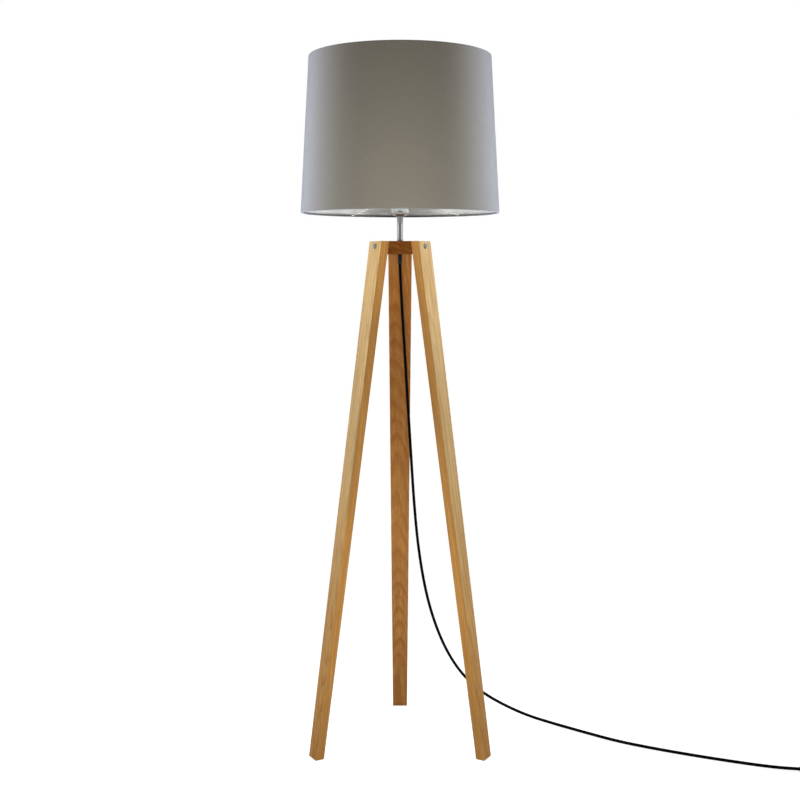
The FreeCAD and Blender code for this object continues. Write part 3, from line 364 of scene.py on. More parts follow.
@dataclass(frozen=True)
class Finish:
    """A surface finish, whose material is written once and shared by its pieces."""

    name: str
    colour: tuple[float, float, float]
    roughness: float

    def material(self) -> bpy.types.Material:
        """Return the finish's material, written the first time that it is asked for."""
        found = bpy.data.materials.get("finish_" + self.name)
        if found is not None:
            return found
        made = bpy.data.materials.new("finish_" + self.name)
        made.use_nodes = True
        made.node_tree.nodes.clear()
        graph = Graph(made.node_tree)
        shader = graph.node("ShaderNodeBsdfPrincipled")
        result = graph.node("ShaderNodeOutputMaterial")
        graph.give(result.inputs["Surface"], shader.outputs["BSDF"])
        self.write(graph, shader)
        made.diffuse_color = opaque(self.colour)
        return made

    def write(self, graph: Graph, shader: bpy.types.Node) -> None:
        """Write the nodes that feed the shader."""
        raise NotImplementedError

    def place(self, graph: Graph) -> bpy.types.NodeSocket:
        """Return the coordinates of the surface in the lamp's own frame."""
        return graph.node("ShaderNodeTexCoord").outputs["Object"]

    def bump(self, graph: Graph, shader: bpy.types.Node, height: Value, depth: float,
             strength: float = 1.0) -> None:
        """Raise the surface by a height.

        Args:
            graph: The material's tree.
            shader: The shader whose normal is bent.
            height: The height, from 0 to 1.
            depth: How far a height of 1 stands proud, in metres.
            strength: Share of the effect.
        """
        node = graph.node("ShaderNodeBump")
        graph.give(node.inputs["Height"], height)
        node.inputs["Distance"].default_value = depth
        node.inputs["Strength"].default_value = strength
        graph.give(shader.inputs["Normal"], node.outputs["Normal"])


@dataclass(frozen=True)
class Moulded(Finish):
    """Moulded plastic, rubber, ceramic or paint: a plain colour with a fine skin and soft gloss."""

    grain: float = 1500.0
    depth: float = 0.00004
    coat: float = 0.0
    specular: float = 0.5

    def write(self, graph: Graph, shader: bpy.types.Node) -> None:
        """Write the cloudy colour, the uneven gloss and the fine skin."""
        skin = FINE_GRAIN.place(graph, vector=self.place(graph), scale=self.grain)
        colour = graph.mix(skin.outputs["Clouds"], toned(self.colour, 0.9), toned(self.colour, 1.12, 0.001))
        graph.give(shader.inputs["Base Color"], colour)
        gloss = graph.clamp_range(skin.outputs["Grain"], 0.3, 0.7, self.roughness * 0.85,
                                  self.roughness * 1.15)
        graph.give(shader.inputs["Roughness"], gloss)
        shader.inputs["Specular IOR Level"].default_value = self.specular
        shader.inputs["Coat Weight"].default_value = self.coat
        shader.inputs["Coat Roughness"].default_value = 0.12
        self.bump(graph, shader, skin.outputs["Grain"], self.depth)


@dataclass(frozen=True)
class Metal(Finish):
    """Bare or plated metal, with fine marks drawn out along or round the lamp's axis."""

    stretch: tuple[float, float, float] = (400.0, 400.0, 2500.0)
    depth: float = 0.000004

    def write(self, graph: Graph, shader: bpy.types.Node) -> None:
        """Write the drawn marks, the tint and the uneven gloss."""
        where = self.place(graph)
        marks = graph.noise(graph.scaled(where, self.stretch), 1.0, detail=3.0, roughness=0.6)
        skin = FINE_GRAIN.place(graph, vector=where, scale=900.0)
        colour = graph.mix(skin.outputs["Clouds"], toned(self.colour, 0.86), opaque(self.colour))
        graph.give(shader.inputs["Base Color"], colour)
        shader.inputs["Metallic"].default_value = 1.0
        both = graph.math("MULTIPLY", graph.math("ADD", marks, skin.outputs["Clouds"]), 0.5)
        gloss = graph.clamp_range(both, 0.3, 0.7, self.roughness * 0.7, self.roughness * 1.3)
        graph.give(shader.inputs["Roughness"], gloss)
        self.bump(graph, shader, marks, self.depth)


@dataclass(frozen=True)
class Board(Finish):
    """An oiled wooden board, whose grain runs along the Z axis of its own frame.

    Its outer face, at Y = 0 in that frame, takes a painted highlight: a paler, yellower tint that sets in
    along the board.
    """

    ring_colour: tuple[float, float, float] = (0.2, 0.1, 0.04)
    pore_colour: tuple[float, float, float] = (0.08, 0.04, 0.02)
    ring_width: float = 0.0035
    wander: float = 0.006
    turn: tuple[float, float, float] = (0.0, 0.0, 0.0)
    foot: tuple[float, float, float] = (0.0, 0.0, 0.0)
    pith: tuple[float, float, float] = (0.0, 0.0, 0.0)
    slope: tuple[float, float, float] = (0.0, 0.0, 0.0)
    # The painted highlight: its tint, how deep the outer face band is, and where along the board it sets in
    # and becomes full.
    painted_light_tint: tuple[float, float, float] = (1.0, 1.0, 1.0)
    face_depth: float = 0.0008
    painted_light_from: float = 0.05
    painted_light_full: float = 0.65
    relief: float = 0.00012

    def write(self, graph: Graph, shader: bpy.types.Node) -> None:
        """Write the board's own frame, the pith's frame in it, and the wood's figure there."""
        in_board = graph.node("ShaderNodeMapping", vector_type="TEXTURE")
        graph.give(in_board.inputs["Vector"], self.place(graph))
        in_board.inputs["Location"].default_value = self.foot
        in_board.inputs["Rotation"].default_value = self.turn
        at_pith = graph.node("ShaderNodeMapping", vector_type="TEXTURE")
        graph.give(at_pith.inputs["Vector"], in_board.outputs["Vector"])
        at_pith.inputs["Location"].default_value = self.pith
        at_pith.inputs["Rotation"].default_value = self.slope
        figure = WOOD_FIGURE.place(graph, vector=at_pith.outputs["Vector"], ring_width=self.ring_width,
                                   wander=self.wander)
        tone = graph.mix(graph.clamp_range(figure.outputs["Clouds"], 0.3, 0.7),
                         toned(self.colour, 0.72), toned(self.colour, 1.18))
        fibred = graph.mix(graph.clamp_range(figure.outputs["Fibres"], 0.35, 0.65, 0.0, 0.85), tone,
                           toned(self.colour, 0.62))
        ringed = graph.mix(graph.math("MULTIPLY", figure.outputs["Rings"], 0.8), fibred,
                           opaque(self.ring_colour))
        pored = graph.mix(graph.math("MULTIPLY", figure.outputs["Pores"], 0.7), ringed,
                          opaque(self.pore_colour))
        # Painted highlight: the outer face, from a little way up the board, is tinted paler and yellower as
        # if lit by the side lights.
        inwards = graph.node("ShaderNodeSeparateXYZ")
        graph.give(inwards.inputs[0], in_board.outputs["Vector"])
        near_face = graph.clamp_range(inwards.outputs["Y"], 0.0, self.face_depth, 1.0, 0.0)
        up_board = graph.clamp_range(inwards.outputs["Z"], self.painted_light_from, self.painted_light_full)
        outside = graph.math("MULTIPLY", near_face, up_board)
        lit_face_colour = graph.mix(1.0, pored, opaque(self.painted_light_tint), blend="MULTIPLY")
        graph.give(shader.inputs["Base Color"], graph.mix(outside, pored, lit_face_colour))
        gloss = graph.clamp_range(figure.outputs["Fibres"], 0.2, 0.8, self.roughness, self.roughness * 1.35)
        graph.give(shader.inputs["Roughness"], gloss)
        shader.inputs["Specular IOR Level"].default_value = 0.12
        dips = graph.math("SUBTRACT", graph.math("MULTIPLY", figure.outputs["Fibres"], 0.4),
                          figure.outputs["Pores"])
        self.bump(graph, shader, dips, self.relief)


@dataclass(frozen=True)
class Cloth(Finish):
    """Plain-woven cloth with a soft sheen, on a piece whose UVs are in metres."""

    thread_dark: tuple[float, float, float] = (0.1, 0.1, 0.1)
    pitch: float = 0.0006
    sheen: float = 0.0
    sheen_tint: tuple[float, float, float] = (1.0, 1.0, 1.0)
    relief: float = 0.00015

    def write(self, graph: Graph, shader: bpy.types.Node) -> None:
        """Write the threads, their shadows and slubs, and the sheen."""
        where = graph.node("ShaderNodeTexCoord").outputs["UV"]
        weave = PLAIN_WEAVE.place(graph, vector=where, pitch=self.pitch)
        threads = graph.mix(graph.clamp_range(weave.outputs["Height"], 0.2, 0.9), opaque(self.thread_dark),
                            opaque(self.colour))
        slubs = graph.clamp_range(weave.outputs["Slubs"], 0.38, 0.62, 0.0, 1.0)
        colour = graph.mix(graph.math("MULTIPLY", slubs, 0.22), threads,
                           toned(self.colour, 1.5))
        crossed = graph.mix(graph.math("MULTIPLY", weave.outputs["Over"], 0.10), colour,
                            toned(self.colour, 0.7))
        graph.give(shader.inputs["Base Color"], crossed)
        gloss = graph.clamp_range(weave.outputs["Height"], 0.0, 1.0, self.roughness, self.roughness * 0.9)
        graph.give(shader.inputs["Roughness"], gloss)
        shader.inputs["Specular IOR Level"].default_value = 0.2
        shader.inputs["Sheen Weight"].default_value = self.sheen
        shader.inputs["Sheen Roughness"].default_value = 0.42
        shader.inputs["Sheen Tint"].default_value = opaque(self.sheen_tint)
        self.bump(graph, shader, weave.outputs["Height"], self.relief, 0.6)


OAK_GOLD = (0.51, 0.260, 0.070)
# A darker, redder copy of the legs' oak: painted shade on the rear leg's face, which the side lights miss.
OAK_REAR_SHADED = (0.43, 0.197, 0.052)
# The head block's oak, darkened as painted shade for the shadow under the lampshade.
OAK_BLOCK_SHADED = (0.195, 0.062, 0.007)
# The cup's steel is a paler copy and the stem's a darker copy of one bright steel: painted highlight on the
# cup, painted shade on the stem.
BRIGHT_STEEL = Metal("bright_steel", (0.92, 0.92, 0.91), 0.10)
STEM_STEEL = Metal("stem_steel", (0.46, 0.46, 0.46), 0.18)
BOLT_STEEL = Metal("bolt_steel", (0.50, 0.50, 0.49), 0.24)
ZINC_STEEL = Metal("zinc_steel", (0.62, 0.64, 0.66), 0.34)
BRASS = Metal("brass", (0.78, 0.56, 0.24), 0.28)
BLACK_PLASTIC = Moulded("black_plastic", (0.010, 0.010, 0.011), 0.42, grain=2200.0, depth=0.00006,
                        specular=0.3)
BLACK_RUBBER = Moulded("black_rubber", (0.002, 0.002, 0.002), 0.6, grain=1200.0, specular=0.03)
BLACK_GLASS = Moulded("black_glass", (0.006, 0.006, 0.008), 0.08, depth=0.00001)
WHITE_PLASTIC = Moulded("white_plastic", (0.80, 0.80, 0.78), 0.32)
WHITE_ENAMEL = Moulded("white_enamel", (0.90, 0.90, 0.89), 0.24, coat=0.4)
CERAMIC = Moulded("ceramic", (0.80, 0.79, 0.74), 0.16, coat=0.5)
BROWN_CORE = Moulded("brown_core", (0.14, 0.055, 0.025), 0.4)
BOARD_MASK = Moulded("board_mask", (0.74, 0.76, 0.72), 0.3)
OPAL = Moulded("opal", (0.86, 0.86, 0.84), 0.22, depth=0.00001, coat=0.3)
LINING = Moulded("lining", (0.74, 0.75, 0.74), 0.8, grain=3500.0, depth=0.00002, specular=0.15)
BEECH = Board("beech", (0.56, 0.36, 0.20), 0.5, ring_colour=(0.42, 0.24, 0.12), ring_width=0.002,
              wander=0.001)
SHADE_CLOTH = Cloth("grey_textile", (0.195, 0.177, 0.139), 0.9, thread_dark=(0.124, 0.112, 0.088),
                    sheen=0.8, sheen_tint=(0.60, 0.70, 1.0))


# ---------------------------------------------------------------- modelling


def pick(piece: bpy.types.Object, part: Part, test: Callable[[Vector], bool]) -> None:
    """Select, in edit mode, the parts of a mesh whose middle passes a test.

    Args:
        piece: The object in edit mode.
        part: Which parts are picked.
        test: Called with the middle of each part.
    """
    bpy.ops.mesh.select_mode(type=part.name[:-1])
    bpy.ops.mesh.select_all(action="DESELECT")
    mesh = bmesh.from_edit_mesh(piece.data)
    for item in getattr(mesh, part.value):
        if part is Part.VERTS:
            middle = item.co
        elif part is Part.EDGES:
            middle = (item.verts[0].co + item.verts[1].co) / 2
        else:
            middle = item.calc_center_median()
        item.select_set(test(middle))
    mesh.select_flush_mode()
    bmesh.update_edit_mesh(piece.data)


def turned(name: str, outline: Sequence[Sequence[float]], steps: int = 96, segments: int = 6,
           smooth_below: float = 35.0) -> bpy.types.Object:
    """Turn a closed outline round the lamp's axis, as on a lathe.

    Args:
        name: The piece's name.
        outline: Radius and height of each corner in order, and how far back from the corner its
            rounding starts where it is rounded.
        steps: Facets in a full turn.
        segments: Facets in each rounding.
        smooth_below: Edges sharper than this many degrees stay sharp.

    Returns:
        The finished object, at the origin.
    """
    bpy.ops.object.select_all(action="DESELECT")
    bpy.ops.mesh.primitive_plane_add(size=MM)
    piece = bpy.context.active_object
    piece.name = name
    bpy.ops.object.mode_set(mode="EDIT")
    corner = piece.data.vertices[0].co.copy()
    pick(piece, Part.VERTS, lambda place: (place - corner).length > MM / 10)
    bpy.ops.mesh.delete(type="VERT")
    bpy.ops.mesh.select_all(action="SELECT")
    places = [Vector((point[0], 0.0, point[1])) for point in outline]
    bpy.ops.transform.translate(value=places[0] - corner)
    for before, after in zip(places, places[1:]):
        bpy.ops.mesh.extrude_region_move(TRANSFORM_OT_translate={"value": after - before})
    ends = (places[0], places[-1])
    pick(piece, Part.VERTS, lambda place: min((place - end).length for end in ends) < MM / 1000)
    bpy.ops.mesh.edge_face_add()
    eases = sorted({point[2] for point in outline if len(point) > 2})
    for ease in eases:
        rounded = [place for place, point in zip(places, outline) if len(point) > 2 and point[2] == ease]
        pick(piece, Part.VERTS, lambda place: min((place - spot).length for spot in rounded) < MM / 1000)
        bpy.ops.mesh.bevel(offset_type="OFFSET", offset=ease, segments=segments, affect="VERTICES")
    bpy.ops.mesh.select_all(action="SELECT")
    bpy.ops.mesh.spin(steps=steps, angle=FULL_TURN, center=(0, 0, 0), axis=(0, 0, 1))
    return closed(piece, smooth_below)


def closed(piece: bpy.types.Object, smooth_below: float = 35.0) -> bpy.types.Object:
    """Close an edited mesh's seams, point its faces outwards, leave edit mode and smooth it."""
    bpy.ops.mesh.select_mode(type="VERT")
    bpy.ops.mesh.select_all(action="SELECT")
    bpy.ops.mesh.remove_doubles(threshold=MM / 500)
    bpy.ops.mesh.normals_make_consistent(inside=False)
    bpy.ops.object.mode_set(mode="OBJECT")
    bpy.ops.object.shade_smooth_by_angle(angle=math.radians(smooth_below))
    return piece


def aimed(piece: bpy.types.Object, start: Vector, heading: Vector) -> bpy.types.Object:
    """Move a piece that was made along +Z from the origin to a start point and a heading."""
    turn = heading.to_track_quat("Z", "Y").to_matrix().to_4x4()
    piece.data.transform(Matrix.Translation(start) @ turn)
    return piece


def dress(finish: Finish, *names: str) -> None:
    """Give CAD nodes, by name, a finish."""
    for name in names:
        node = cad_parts[name]
        for slot in node.material_slots:
            slot.material = finish.material()
        log.info("dressed %s in %s", name, finish.name)


def keep(piece: bpy.types.Object, finish: Finish, slot: str, *stands_for: str) -> bpy.types.Object:
    """Finish a new piece and tie it to the frame, riding on the lamp's main body.

    Args:
        piece: The object, in place.
        finish: Its finish.
        slot: The record's material slot that the piece belongs to. Not used.
        stands_for: The CAD nodes that it replaces.

    Returns:
        The same object.
    """
    piece.data.materials.clear()
    piece.data.materials.append(finish.material())
    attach(piece, LAMP_BODY)
    if stands_for:
        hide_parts(*stands_for)
    log.info("made %s in %s", piece.name, finish.name)
    return piece


# ---------------------------------------------------------------- studio


@dataclass(frozen=True)
class Softbox:
    """One soft light: where it stands, what it faces, and how wide its beam opens."""

    name: str
    place: Place
    aim: Place
    size: tuple[float, float]
    power: float
    beam: float
    colour: tuple[float, float, float] = (1.0, 1.0, 1.0)

    def build(self) -> None:
        """Add the light to the scene, unseen by the camera and by glossy reflections."""
        data = bpy.data.lights.new(self.name, "AREA")
        data.shape = "RECTANGLE"
        data.size, data.size_y = self.size
        data.energy = self.power
        data.spread = math.radians(self.beam)
        data.color = self.colour
        light = bpy.data.objects.new(self.name, data)
        light.location = self.place
        light.rotation_euler = (Vector(self.aim) - Vector(self.place)).to_track_quat("-Z", "Y").to_euler()
        light.visible_camera = False
        light.visible_glossy = False
        bpy.context.scene.collection.objects.link(light)


@dataclass
class Studio:
    """Camera, soft lights, a pale floor and the room's light.

    Each range says over which part of a direction's X, Y or Z one level of light turns into the next.
    """

    eye: Place = (0.0, -2.703, 1.0706)
    lens: float = 53.57
    horizon_shift: float = -0.1667
    floor_radius: float = 14.0
    floor_glow: float = 0.80
    floor_seen: float = 0.55
    floor_bounce: float = 0.74
    room_front: float = 1.75
    room_level: float = 0.92
    room_zenith: float = 0.12
    room_slot: float = 0.05
    mirror_slot: float = 0.06
    mirror_walls: float = 1.55
    front_range: tuple[float, float] = (-0.8, -0.1)
    slot_range: tuple[float, float] = (0.14, 0.46)
    slot_end_range: tuple[float, float] = (-0.5, 0.0)
    ceiling_range: tuple[float, float] = (0.45, 0.85)
    mirror_range: tuple[float, float] = (0.22, 0.72)
    softboxes: tuple[Softbox, ...] = (
        Softbox("left_softbox", (-1.45, 0.60, 1.26), (0.0, 0.0, 1.26), (0.5, 0.8), 14.0, 95.0,
                (0.94, 0.97, 1.0)),
        Softbox("right_softbox", (1.45, 0.60, 1.26), (0.0, 0.0, 1.26), (0.5, 0.8), 14.0, 95.0,
                (0.94, 0.97, 1.0)),
        Softbox("low_softbox", (0.0, -1.55, 0.25), (0.0, -0.22, 1.16), (0.4, 0.3), 0.78, 26.0),
        Softbox("leg_softbox", (0.0, -1.90, 0.15), (0.0, 0.10, 0.42), (0.5, 0.2), 1.1, 38.0),
    )

    def build(self) -> None:
        """Build the camera, the floor, the room and the lights."""
        self.make_camera()
        self.make_floor()
        self.make_room()
        for softbox in self.softboxes:
            softbox.build()
        bpy.context.scene.view_settings.view_transform = "Standard"

    def make_camera(self) -> None:
        """Place the camera at chest height, level, with its frame shifted down to the feet."""
        data = bpy.data.cameras.new("camera")
        data.lens = self.lens
        data.shift_y = self.horizon_shift
        camera = bpy.data.objects.new("camera", data)
        camera.location = self.eye
        camera.rotation_euler = (math.pi / 2, 0.0, 0.0)
        bpy.context.scene.collection.objects.link(camera)
        bpy.context.scene.camera = camera

    def make_floor(self) -> None:
        """Lay a round pale floor, lit white where the camera sees it, that throws little light back."""
        bpy.ops.object.select_all(action="DESELECT")
        bpy.ops.mesh.primitive_circle_add(vertices=96, radius=self.floor_radius, fill_type="NGON")
        floor = bpy.context.active_object
        floor.name = "studio_floor"
        paint = bpy.data.materials.new("studio_floor")
        paint.use_nodes = True
        paint.node_tree.nodes.clear()
        graph = Graph(paint.node_tree)
        seen = graph.node("ShaderNodeBsdfPrincipled")
        unseen = graph.node("ShaderNodeBsdfPrincipled")
        for shader, pale in ((seen, self.floor_seen), (unseen, self.floor_bounce)):
            shader.inputs["Base Color"].default_value = (pale, pale, pale, 1.0)
            shader.inputs["Roughness"].default_value = 0.9
            shader.inputs["Specular IOR Level"].default_value = 0.0
        seen.inputs["Emission Color"].default_value = (1.0, 1.0, 1.0, 1.0)
        seen.inputs["Emission Strength"].default_value = self.floor_glow
        both = graph.node("ShaderNodeMixShader")
        graph.give(both.inputs[0], graph.node("ShaderNodeLightPath").outputs["Is Camera Ray"])
        graph.give(both.inputs[1], unseen.outputs["BSDF"])
        graph.give(both.inputs[2], seen.outputs["BSDF"])
        graph.give(graph.node("ShaderNodeOutputMaterial").inputs["Surface"], both.outputs[0])
        floor.data.materials.append(paint)

    def make_room(self) -> None:
        """Light the scene from a pale room, and show the room white to the camera.

        The room is brightest towards the front, dim overhead and dark in a slot behind the camera.
        Glossy rays see another room, with bright side walls and dark between them.
        """
        world = bpy.data.worlds.new("studio_room")
        bpy.context.scene.world = world
        world.use_nodes = True
        world.node_tree.nodes.clear()
        graph = Graph(world.node_tree)
        split = graph.node("ShaderNodeSeparateXYZ")
        graph.give(split.inputs[0], graph.node("ShaderNodeTexCoord").outputs["Generated"])
        aside = graph.math("ABSOLUTE", split.outputs["X"])
        across = graph.clamp_range(split.outputs["Y"], *self.front_range, self.room_front, self.room_level)
        open_wall = graph.math("MAXIMUM", graph.clamp_range(aside, *self.slot_range, smooth=True),
                               graph.clamp_range(split.outputs["Y"], *self.slot_end_range))
        level = graph.math("MULTIPLY", across, graph.clamp_range(open_wall, 0.0, 1.0, self.room_slot, 1.0))
        overhead = graph.clamp_range(split.outputs["Z"], *self.ceiling_range, smooth=True)
        ceiling_share = self.room_zenith / self.room_level
        dimmed = graph.math("MULTIPLY", level, graph.clamp_range(overhead, 0.0, 1.0, 1.0, ceiling_share))
        mirrored = graph.clamp_range(aside, *self.mirror_range, self.mirror_slot, self.mirror_walls,
                                     smooth=True)
        rays = graph.node("ShaderNodeLightPath")
        strength = graph.node("ShaderNodeMix", data_type="FLOAT")
        for index, value in ((0, rays.outputs["Is Glossy Ray"]), (2, dimmed), (3, mirrored)):
            graph.give(strength.inputs[index], value)
        lit = graph.node("ShaderNodeBackground")
        graph.give(lit.inputs["Strength"], strength.outputs[0])
        seen = graph.node("ShaderNodeBackground")
        seen.inputs["Color"].default_value = (1.0, 1.0, 1.0, 1.0)
        both = graph.node("ShaderNodeMixShader")
        graph.give(both.inputs[0], rays.outputs["Is Camera Ray"])
        graph.give(both.inputs[1], lit.outputs[0])
        graph.give(both.inputs[2], seen.outputs[0])
        result = graph.node("ShaderNodeOutputWorld")
        graph.give(result.inputs["Surface"], both.outputs[0])


# ---------------------------------------------------------------- mains cord

CORD_TO_SWITCH = [
    (0.0, 0.0, 1.076), (0.0, 0.0, 1.050), (0.0275, 0.007, 0.600), (0.033, 0.011, 0.520),
    (0.0405, 0.016, 0.440), (0.0515, 0.025, 0.365), (0.065, 0.035, 0.300), (0.084, 0.044, 0.238),
    (0.108, 0.053, 0.181), (0.140, 0.066, 0.128), (0.182, 0.081, 0.082), (0.235, 0.095, 0.045),
    (0.300, 0.099, 0.014), (0.364, 0.074, 0.00325), (0.427, 0.023, 0.00325), (0.490, -0.026, 0.00325),
    (0.559, -0.064, 0.00325), (0.630, -0.098, 0.00325), (0.702, -0.129, 0.00325), (0.775, -0.157, 0.00325),
    (0.826, -0.174, 0.0044), (0.868, -0.186, 0.0075),
]
CORD_TO_COIL = [
    (0.914, -0.199, 0.0075), (0.946, -0.206, 0.0053), (0.971, -0.193, 0.00455),
    (0.982, -0.164, 0.00455), (0.982, -0.132, 0.00455), (0.981, -0.103, 0.00455),
]
CORD_TO_PLUG = [
    (0.981, -0.097, 0.01105), (0.981, -0.072, 0.0102), (0.976, -0.046, 0.0074),
    (0.968, -0.024, 0.0064), (0.964, -0.002, 0.00685),
]


@dataclass
class MainsCord:
    """The free cord: down to the foot switch, on to a tied coil, and into the plug."""

    radius: float = 0.00325
    coil_centre: tuple[float, float] = (0.9445, -0.100)
    coil_outer: float = 0.0365
    coil_inner: float = 0.0295
    coil_turns: int = 2
    points_per_turn: int = 16
    low_layer: float = 0.00455
    high_layer: float = 0.01105
    climb: float = 0.16
    upper_length: float = 1.81
    lower_length: float = 0.66
    sleeve_length: float = 0.024
    sleeve_ribs: int = 5
    sleeve_root: float = 2.2 * MM
    sleeve_tip: float = 0.9 * MM
    rib_share: float = 0.62
    rib_taper: float = 0.15 * MM
    rib_ease: float = 0.3 * MM
    groove_depth: float = 0.9 * MM
    groove_end: float = 1.4 * MM
    pieces: dict[str, bpy.types.Object] = field(default_factory=dict)

    def coil_points(self) -> list[Place]:
        """Return the coil's points: turns that run inwards on the floor and out again on top."""
        points = []
        count = self.coil_turns * self.points_per_turn
        for index in range(count + 1):
            share = index / count
            radius = self.coil_outer - (self.coil_outer - self.coil_inner) * (1 - abs(2 * share - 1))
            angle = FULL_TURN * self.coil_turns * share
            lift = min(1.0, max(0.0, (share - 0.5) / self.climb + 0.5))
            points.append((
                self.coil_centre[0] + radius * math.cos(angle),
                self.coil_centre[1] + radius * math.sin(angle),
                self.low_layer + (self.high_layer - self.low_layer) * lift * lift * (3 - 2 * lift),
            ))
        return points

    def make_run(self, name: str, points: Sequence[Place], *stands_for: str) -> bpy.types.Object:
        """Make one length of cord as a smooth curve along its route.

        Args:
            name: The piece's name.
            points: The route's points.
            stands_for: The CAD tubes that it replaces.

        Returns:
            The curve object.
        """
        curve = bpy.data.curves.new(name, "CURVE")
        curve.dimensions = "3D"
        spline = curve.splines.new("NURBS")
        spline.points.add(len(points) - 1)
        for point, place in zip(spline.points, points):
            point.co = (*place, 1.0)
        spline.order_u = 3
        spline.use_endpoint_u = True
        spline.resolution_u = 10
        curve.resolution_u = 10
        curve.bevel_depth = self.radius
        curve.bevel_resolution = 5
        curve.use_fill_caps = True
        run = bpy.data.objects.new(name, curve)
        bpy.context.scene.collection.objects.link(run)
        return keep(run, BLACK_RUBBER, "black_rubber", *stands_for)

    def make_sleeve(self, name: str, mouth: Place, towards: Place) -> bpy.types.Object:
        """Make a tapered, ribbed strain relief that starts inside a housing and runs out along the cord.

        Args:
            name: The piece's name.
            mouth: The point on the cord where the sleeve starts.
            towards: The next point on the cord, which sets its heading.

        Returns:
            The sleeve.
        """
        root, tip = self.radius + self.sleeve_root, self.radius + self.sleeve_tip
        outline = [(self.radius, 0.0)]
        for index in range(self.sleeve_ribs):
            low = self.sleeve_length * index / self.sleeve_ribs
            high = self.sleeve_length * (index + self.rib_share) / self.sleeve_ribs
            girth = root + (tip - root) * index / self.sleeve_ribs
            groove = girth - self.groove_depth
            outline += [(girth, low, self.rib_ease), (girth - self.rib_taper, high, self.rib_ease),
                        (groove, high + self.rib_ease), (groove, high + self.groove_end)]
        outline += [(tip, self.sleeve_length, self.rib_ease), (self.radius, self.sleeve_length)]
        sleeve = turned(name, outline, steps=48, segments=2)
        aimed(sleeve, Vector(mouth), Vector(towards) - Vector(mouth))
        return keep(sleeve, BLACK_PLASTIC, "black_plastic")

    def build(self) -> None:
        """Build both lengths and the sleeves."""
        self.pieces["upper"] = self.make_run("cord_upper", CORD_TO_SWITCH, "cord_to_switch")
        route = CORD_TO_COIL + self.coil_points() + CORD_TO_PLUG
        self.pieces["lower"] = self.make_run("cord_lower", route, "cord_to_coil", "cord_coil",
                                             "cord_to_plug")
        self.pieces["sleeve_in"] = self.make_sleeve("sleeve_in", CORD_TO_SWITCH[-1], CORD_TO_SWITCH[-2])
        self.pieces["sleeve_out"] = self.make_sleeve("sleeve_out", CORD_TO_COIL[0], CORD_TO_COIL[1])

    def declare(self) -> None:
        """Do nothing: the free lengths are not declared here."""


# ---------------------------------------------------------------- tripod


@dataclass
class Tripod:
    """Three tapered oak legs, the head block between them and their fasteners."""

    foot_radius: float = 0.2205
    head_radius: float = 0.0637
    rise: float = 1.128
    # Tint of the painted highlight on each leg's outer face, where the side lights fall.
    painted_light_tint: tuple[float, float, float] = (0.93, 1.24, 2.1)
    ring_shares: tuple[float, float, float] = (0.62, 0.50, 0.38)

    def leg_finish(self, name: str, bearing: float, colour: tuple[float, float, float],
                   pith: tuple[float, float, float], slope: tuple[float, float, float]) -> Board:
        """Return the finish of one leg, with the grain along the leg.

        Args:
            name: The finish's name.
            bearing: The leg's turn about the upright axis from the front, in degrees.
            colour: The wood's colour.
            pith: Where the tree's pith runs, in the leg's frame.
            slope: How the pith leans against the leg.

        Returns:
            The finish.
        """
        turn = math.radians(bearing)
        foot = (self.foot_radius * math.sin(turn), -self.foot_radius * math.cos(turn), 0.0)
        ring = tuple(channel * share for channel, share in zip(colour, self.ring_shares))
        splay = math.atan((self.foot_radius - self.head_radius) / self.rise)
        # Each leg's outer face takes the painted highlight's tint.
        return Board(name, colour, 0.55, ring_colour=ring, turn=(-splay, 0.0, turn), foot=foot, pith=pith,
                     slope=slope, painted_light_tint=self.painted_light_tint)

    def build(self) -> None:
        """Dress the wooden pieces, each as its own board, and the fasteners."""
        legs = (
            ("leg_front_left", -60.0, OAK_GOLD, (0.012, 0.060, 0.0), (0.030, 0.014, 0.0)),
            ("leg_front_right", 60.0, OAK_GOLD, (-0.020, 0.070, 0.4), (-0.022, 0.010, 0.0)),
            # The rear leg takes the darker copy of the oak, as painted shade.
            ("leg_rear", 180.0, OAK_REAR_SHADED, (0.006, -0.040, 0.2), (0.070, 0.006, 0.0)),
        )
        for name, bearing, colour, pith, slope in legs:
            dress(self.leg_finish("oak_" + name, bearing, colour, pith, slope), name)
        # The head block's oak and its rings are darkened: painted shade for the shadow under the lampshade.
        block = Board("oak_head_block", OAK_BLOCK_SHADED, 0.5, ring_colour=(0.06, 0.017, 0.003),
                      turn=(0.0, math.pi / 2, 0.0), foot=(0.0, 0.0, 1.110), pith=(0.030, 0.045, 0.0),
                      slope=(0.10, 0.55, 0.0))
        dress(block, "head_block")
        dress(BEECH, "leg_dowels")
        dress(BOLT_STEEL, "leg_bolts")
        dress(BRASS, "leg_inserts")


# ---------------------------------------------------------------- stem and lampholder


@dataclass
class Stem:
    """The metal stem with its threaded tube, nuts and bushing."""

    wall: float = 0.0015
    edge: float = 0.0003

    def build(self) -> None:
        """Turn the stem tube and dress the rest."""
        low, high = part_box("stem_tube")
        bore = high.x - self.wall
        stem = turned("stem", [(bore, low.z), (high.x, low.z, self.edge), (high.x, high.z, self.edge),
                               (bore, high.z)])
        # The stem takes the darker copy of the bright steel, as painted shade.
        keep(stem, STEM_STEEL, "bright_steel", "stem_tube")
        dress(ZINC_STEEL, "threaded_tube", "clamp_washer", "clamp_nut", "cup_nut")
        dress(BLACK_PLASTIC, "cord_bushing")
        dress(BLACK_RUBBER, "inner_lead")
        dress(BROWN_CORE, "inner_cores")


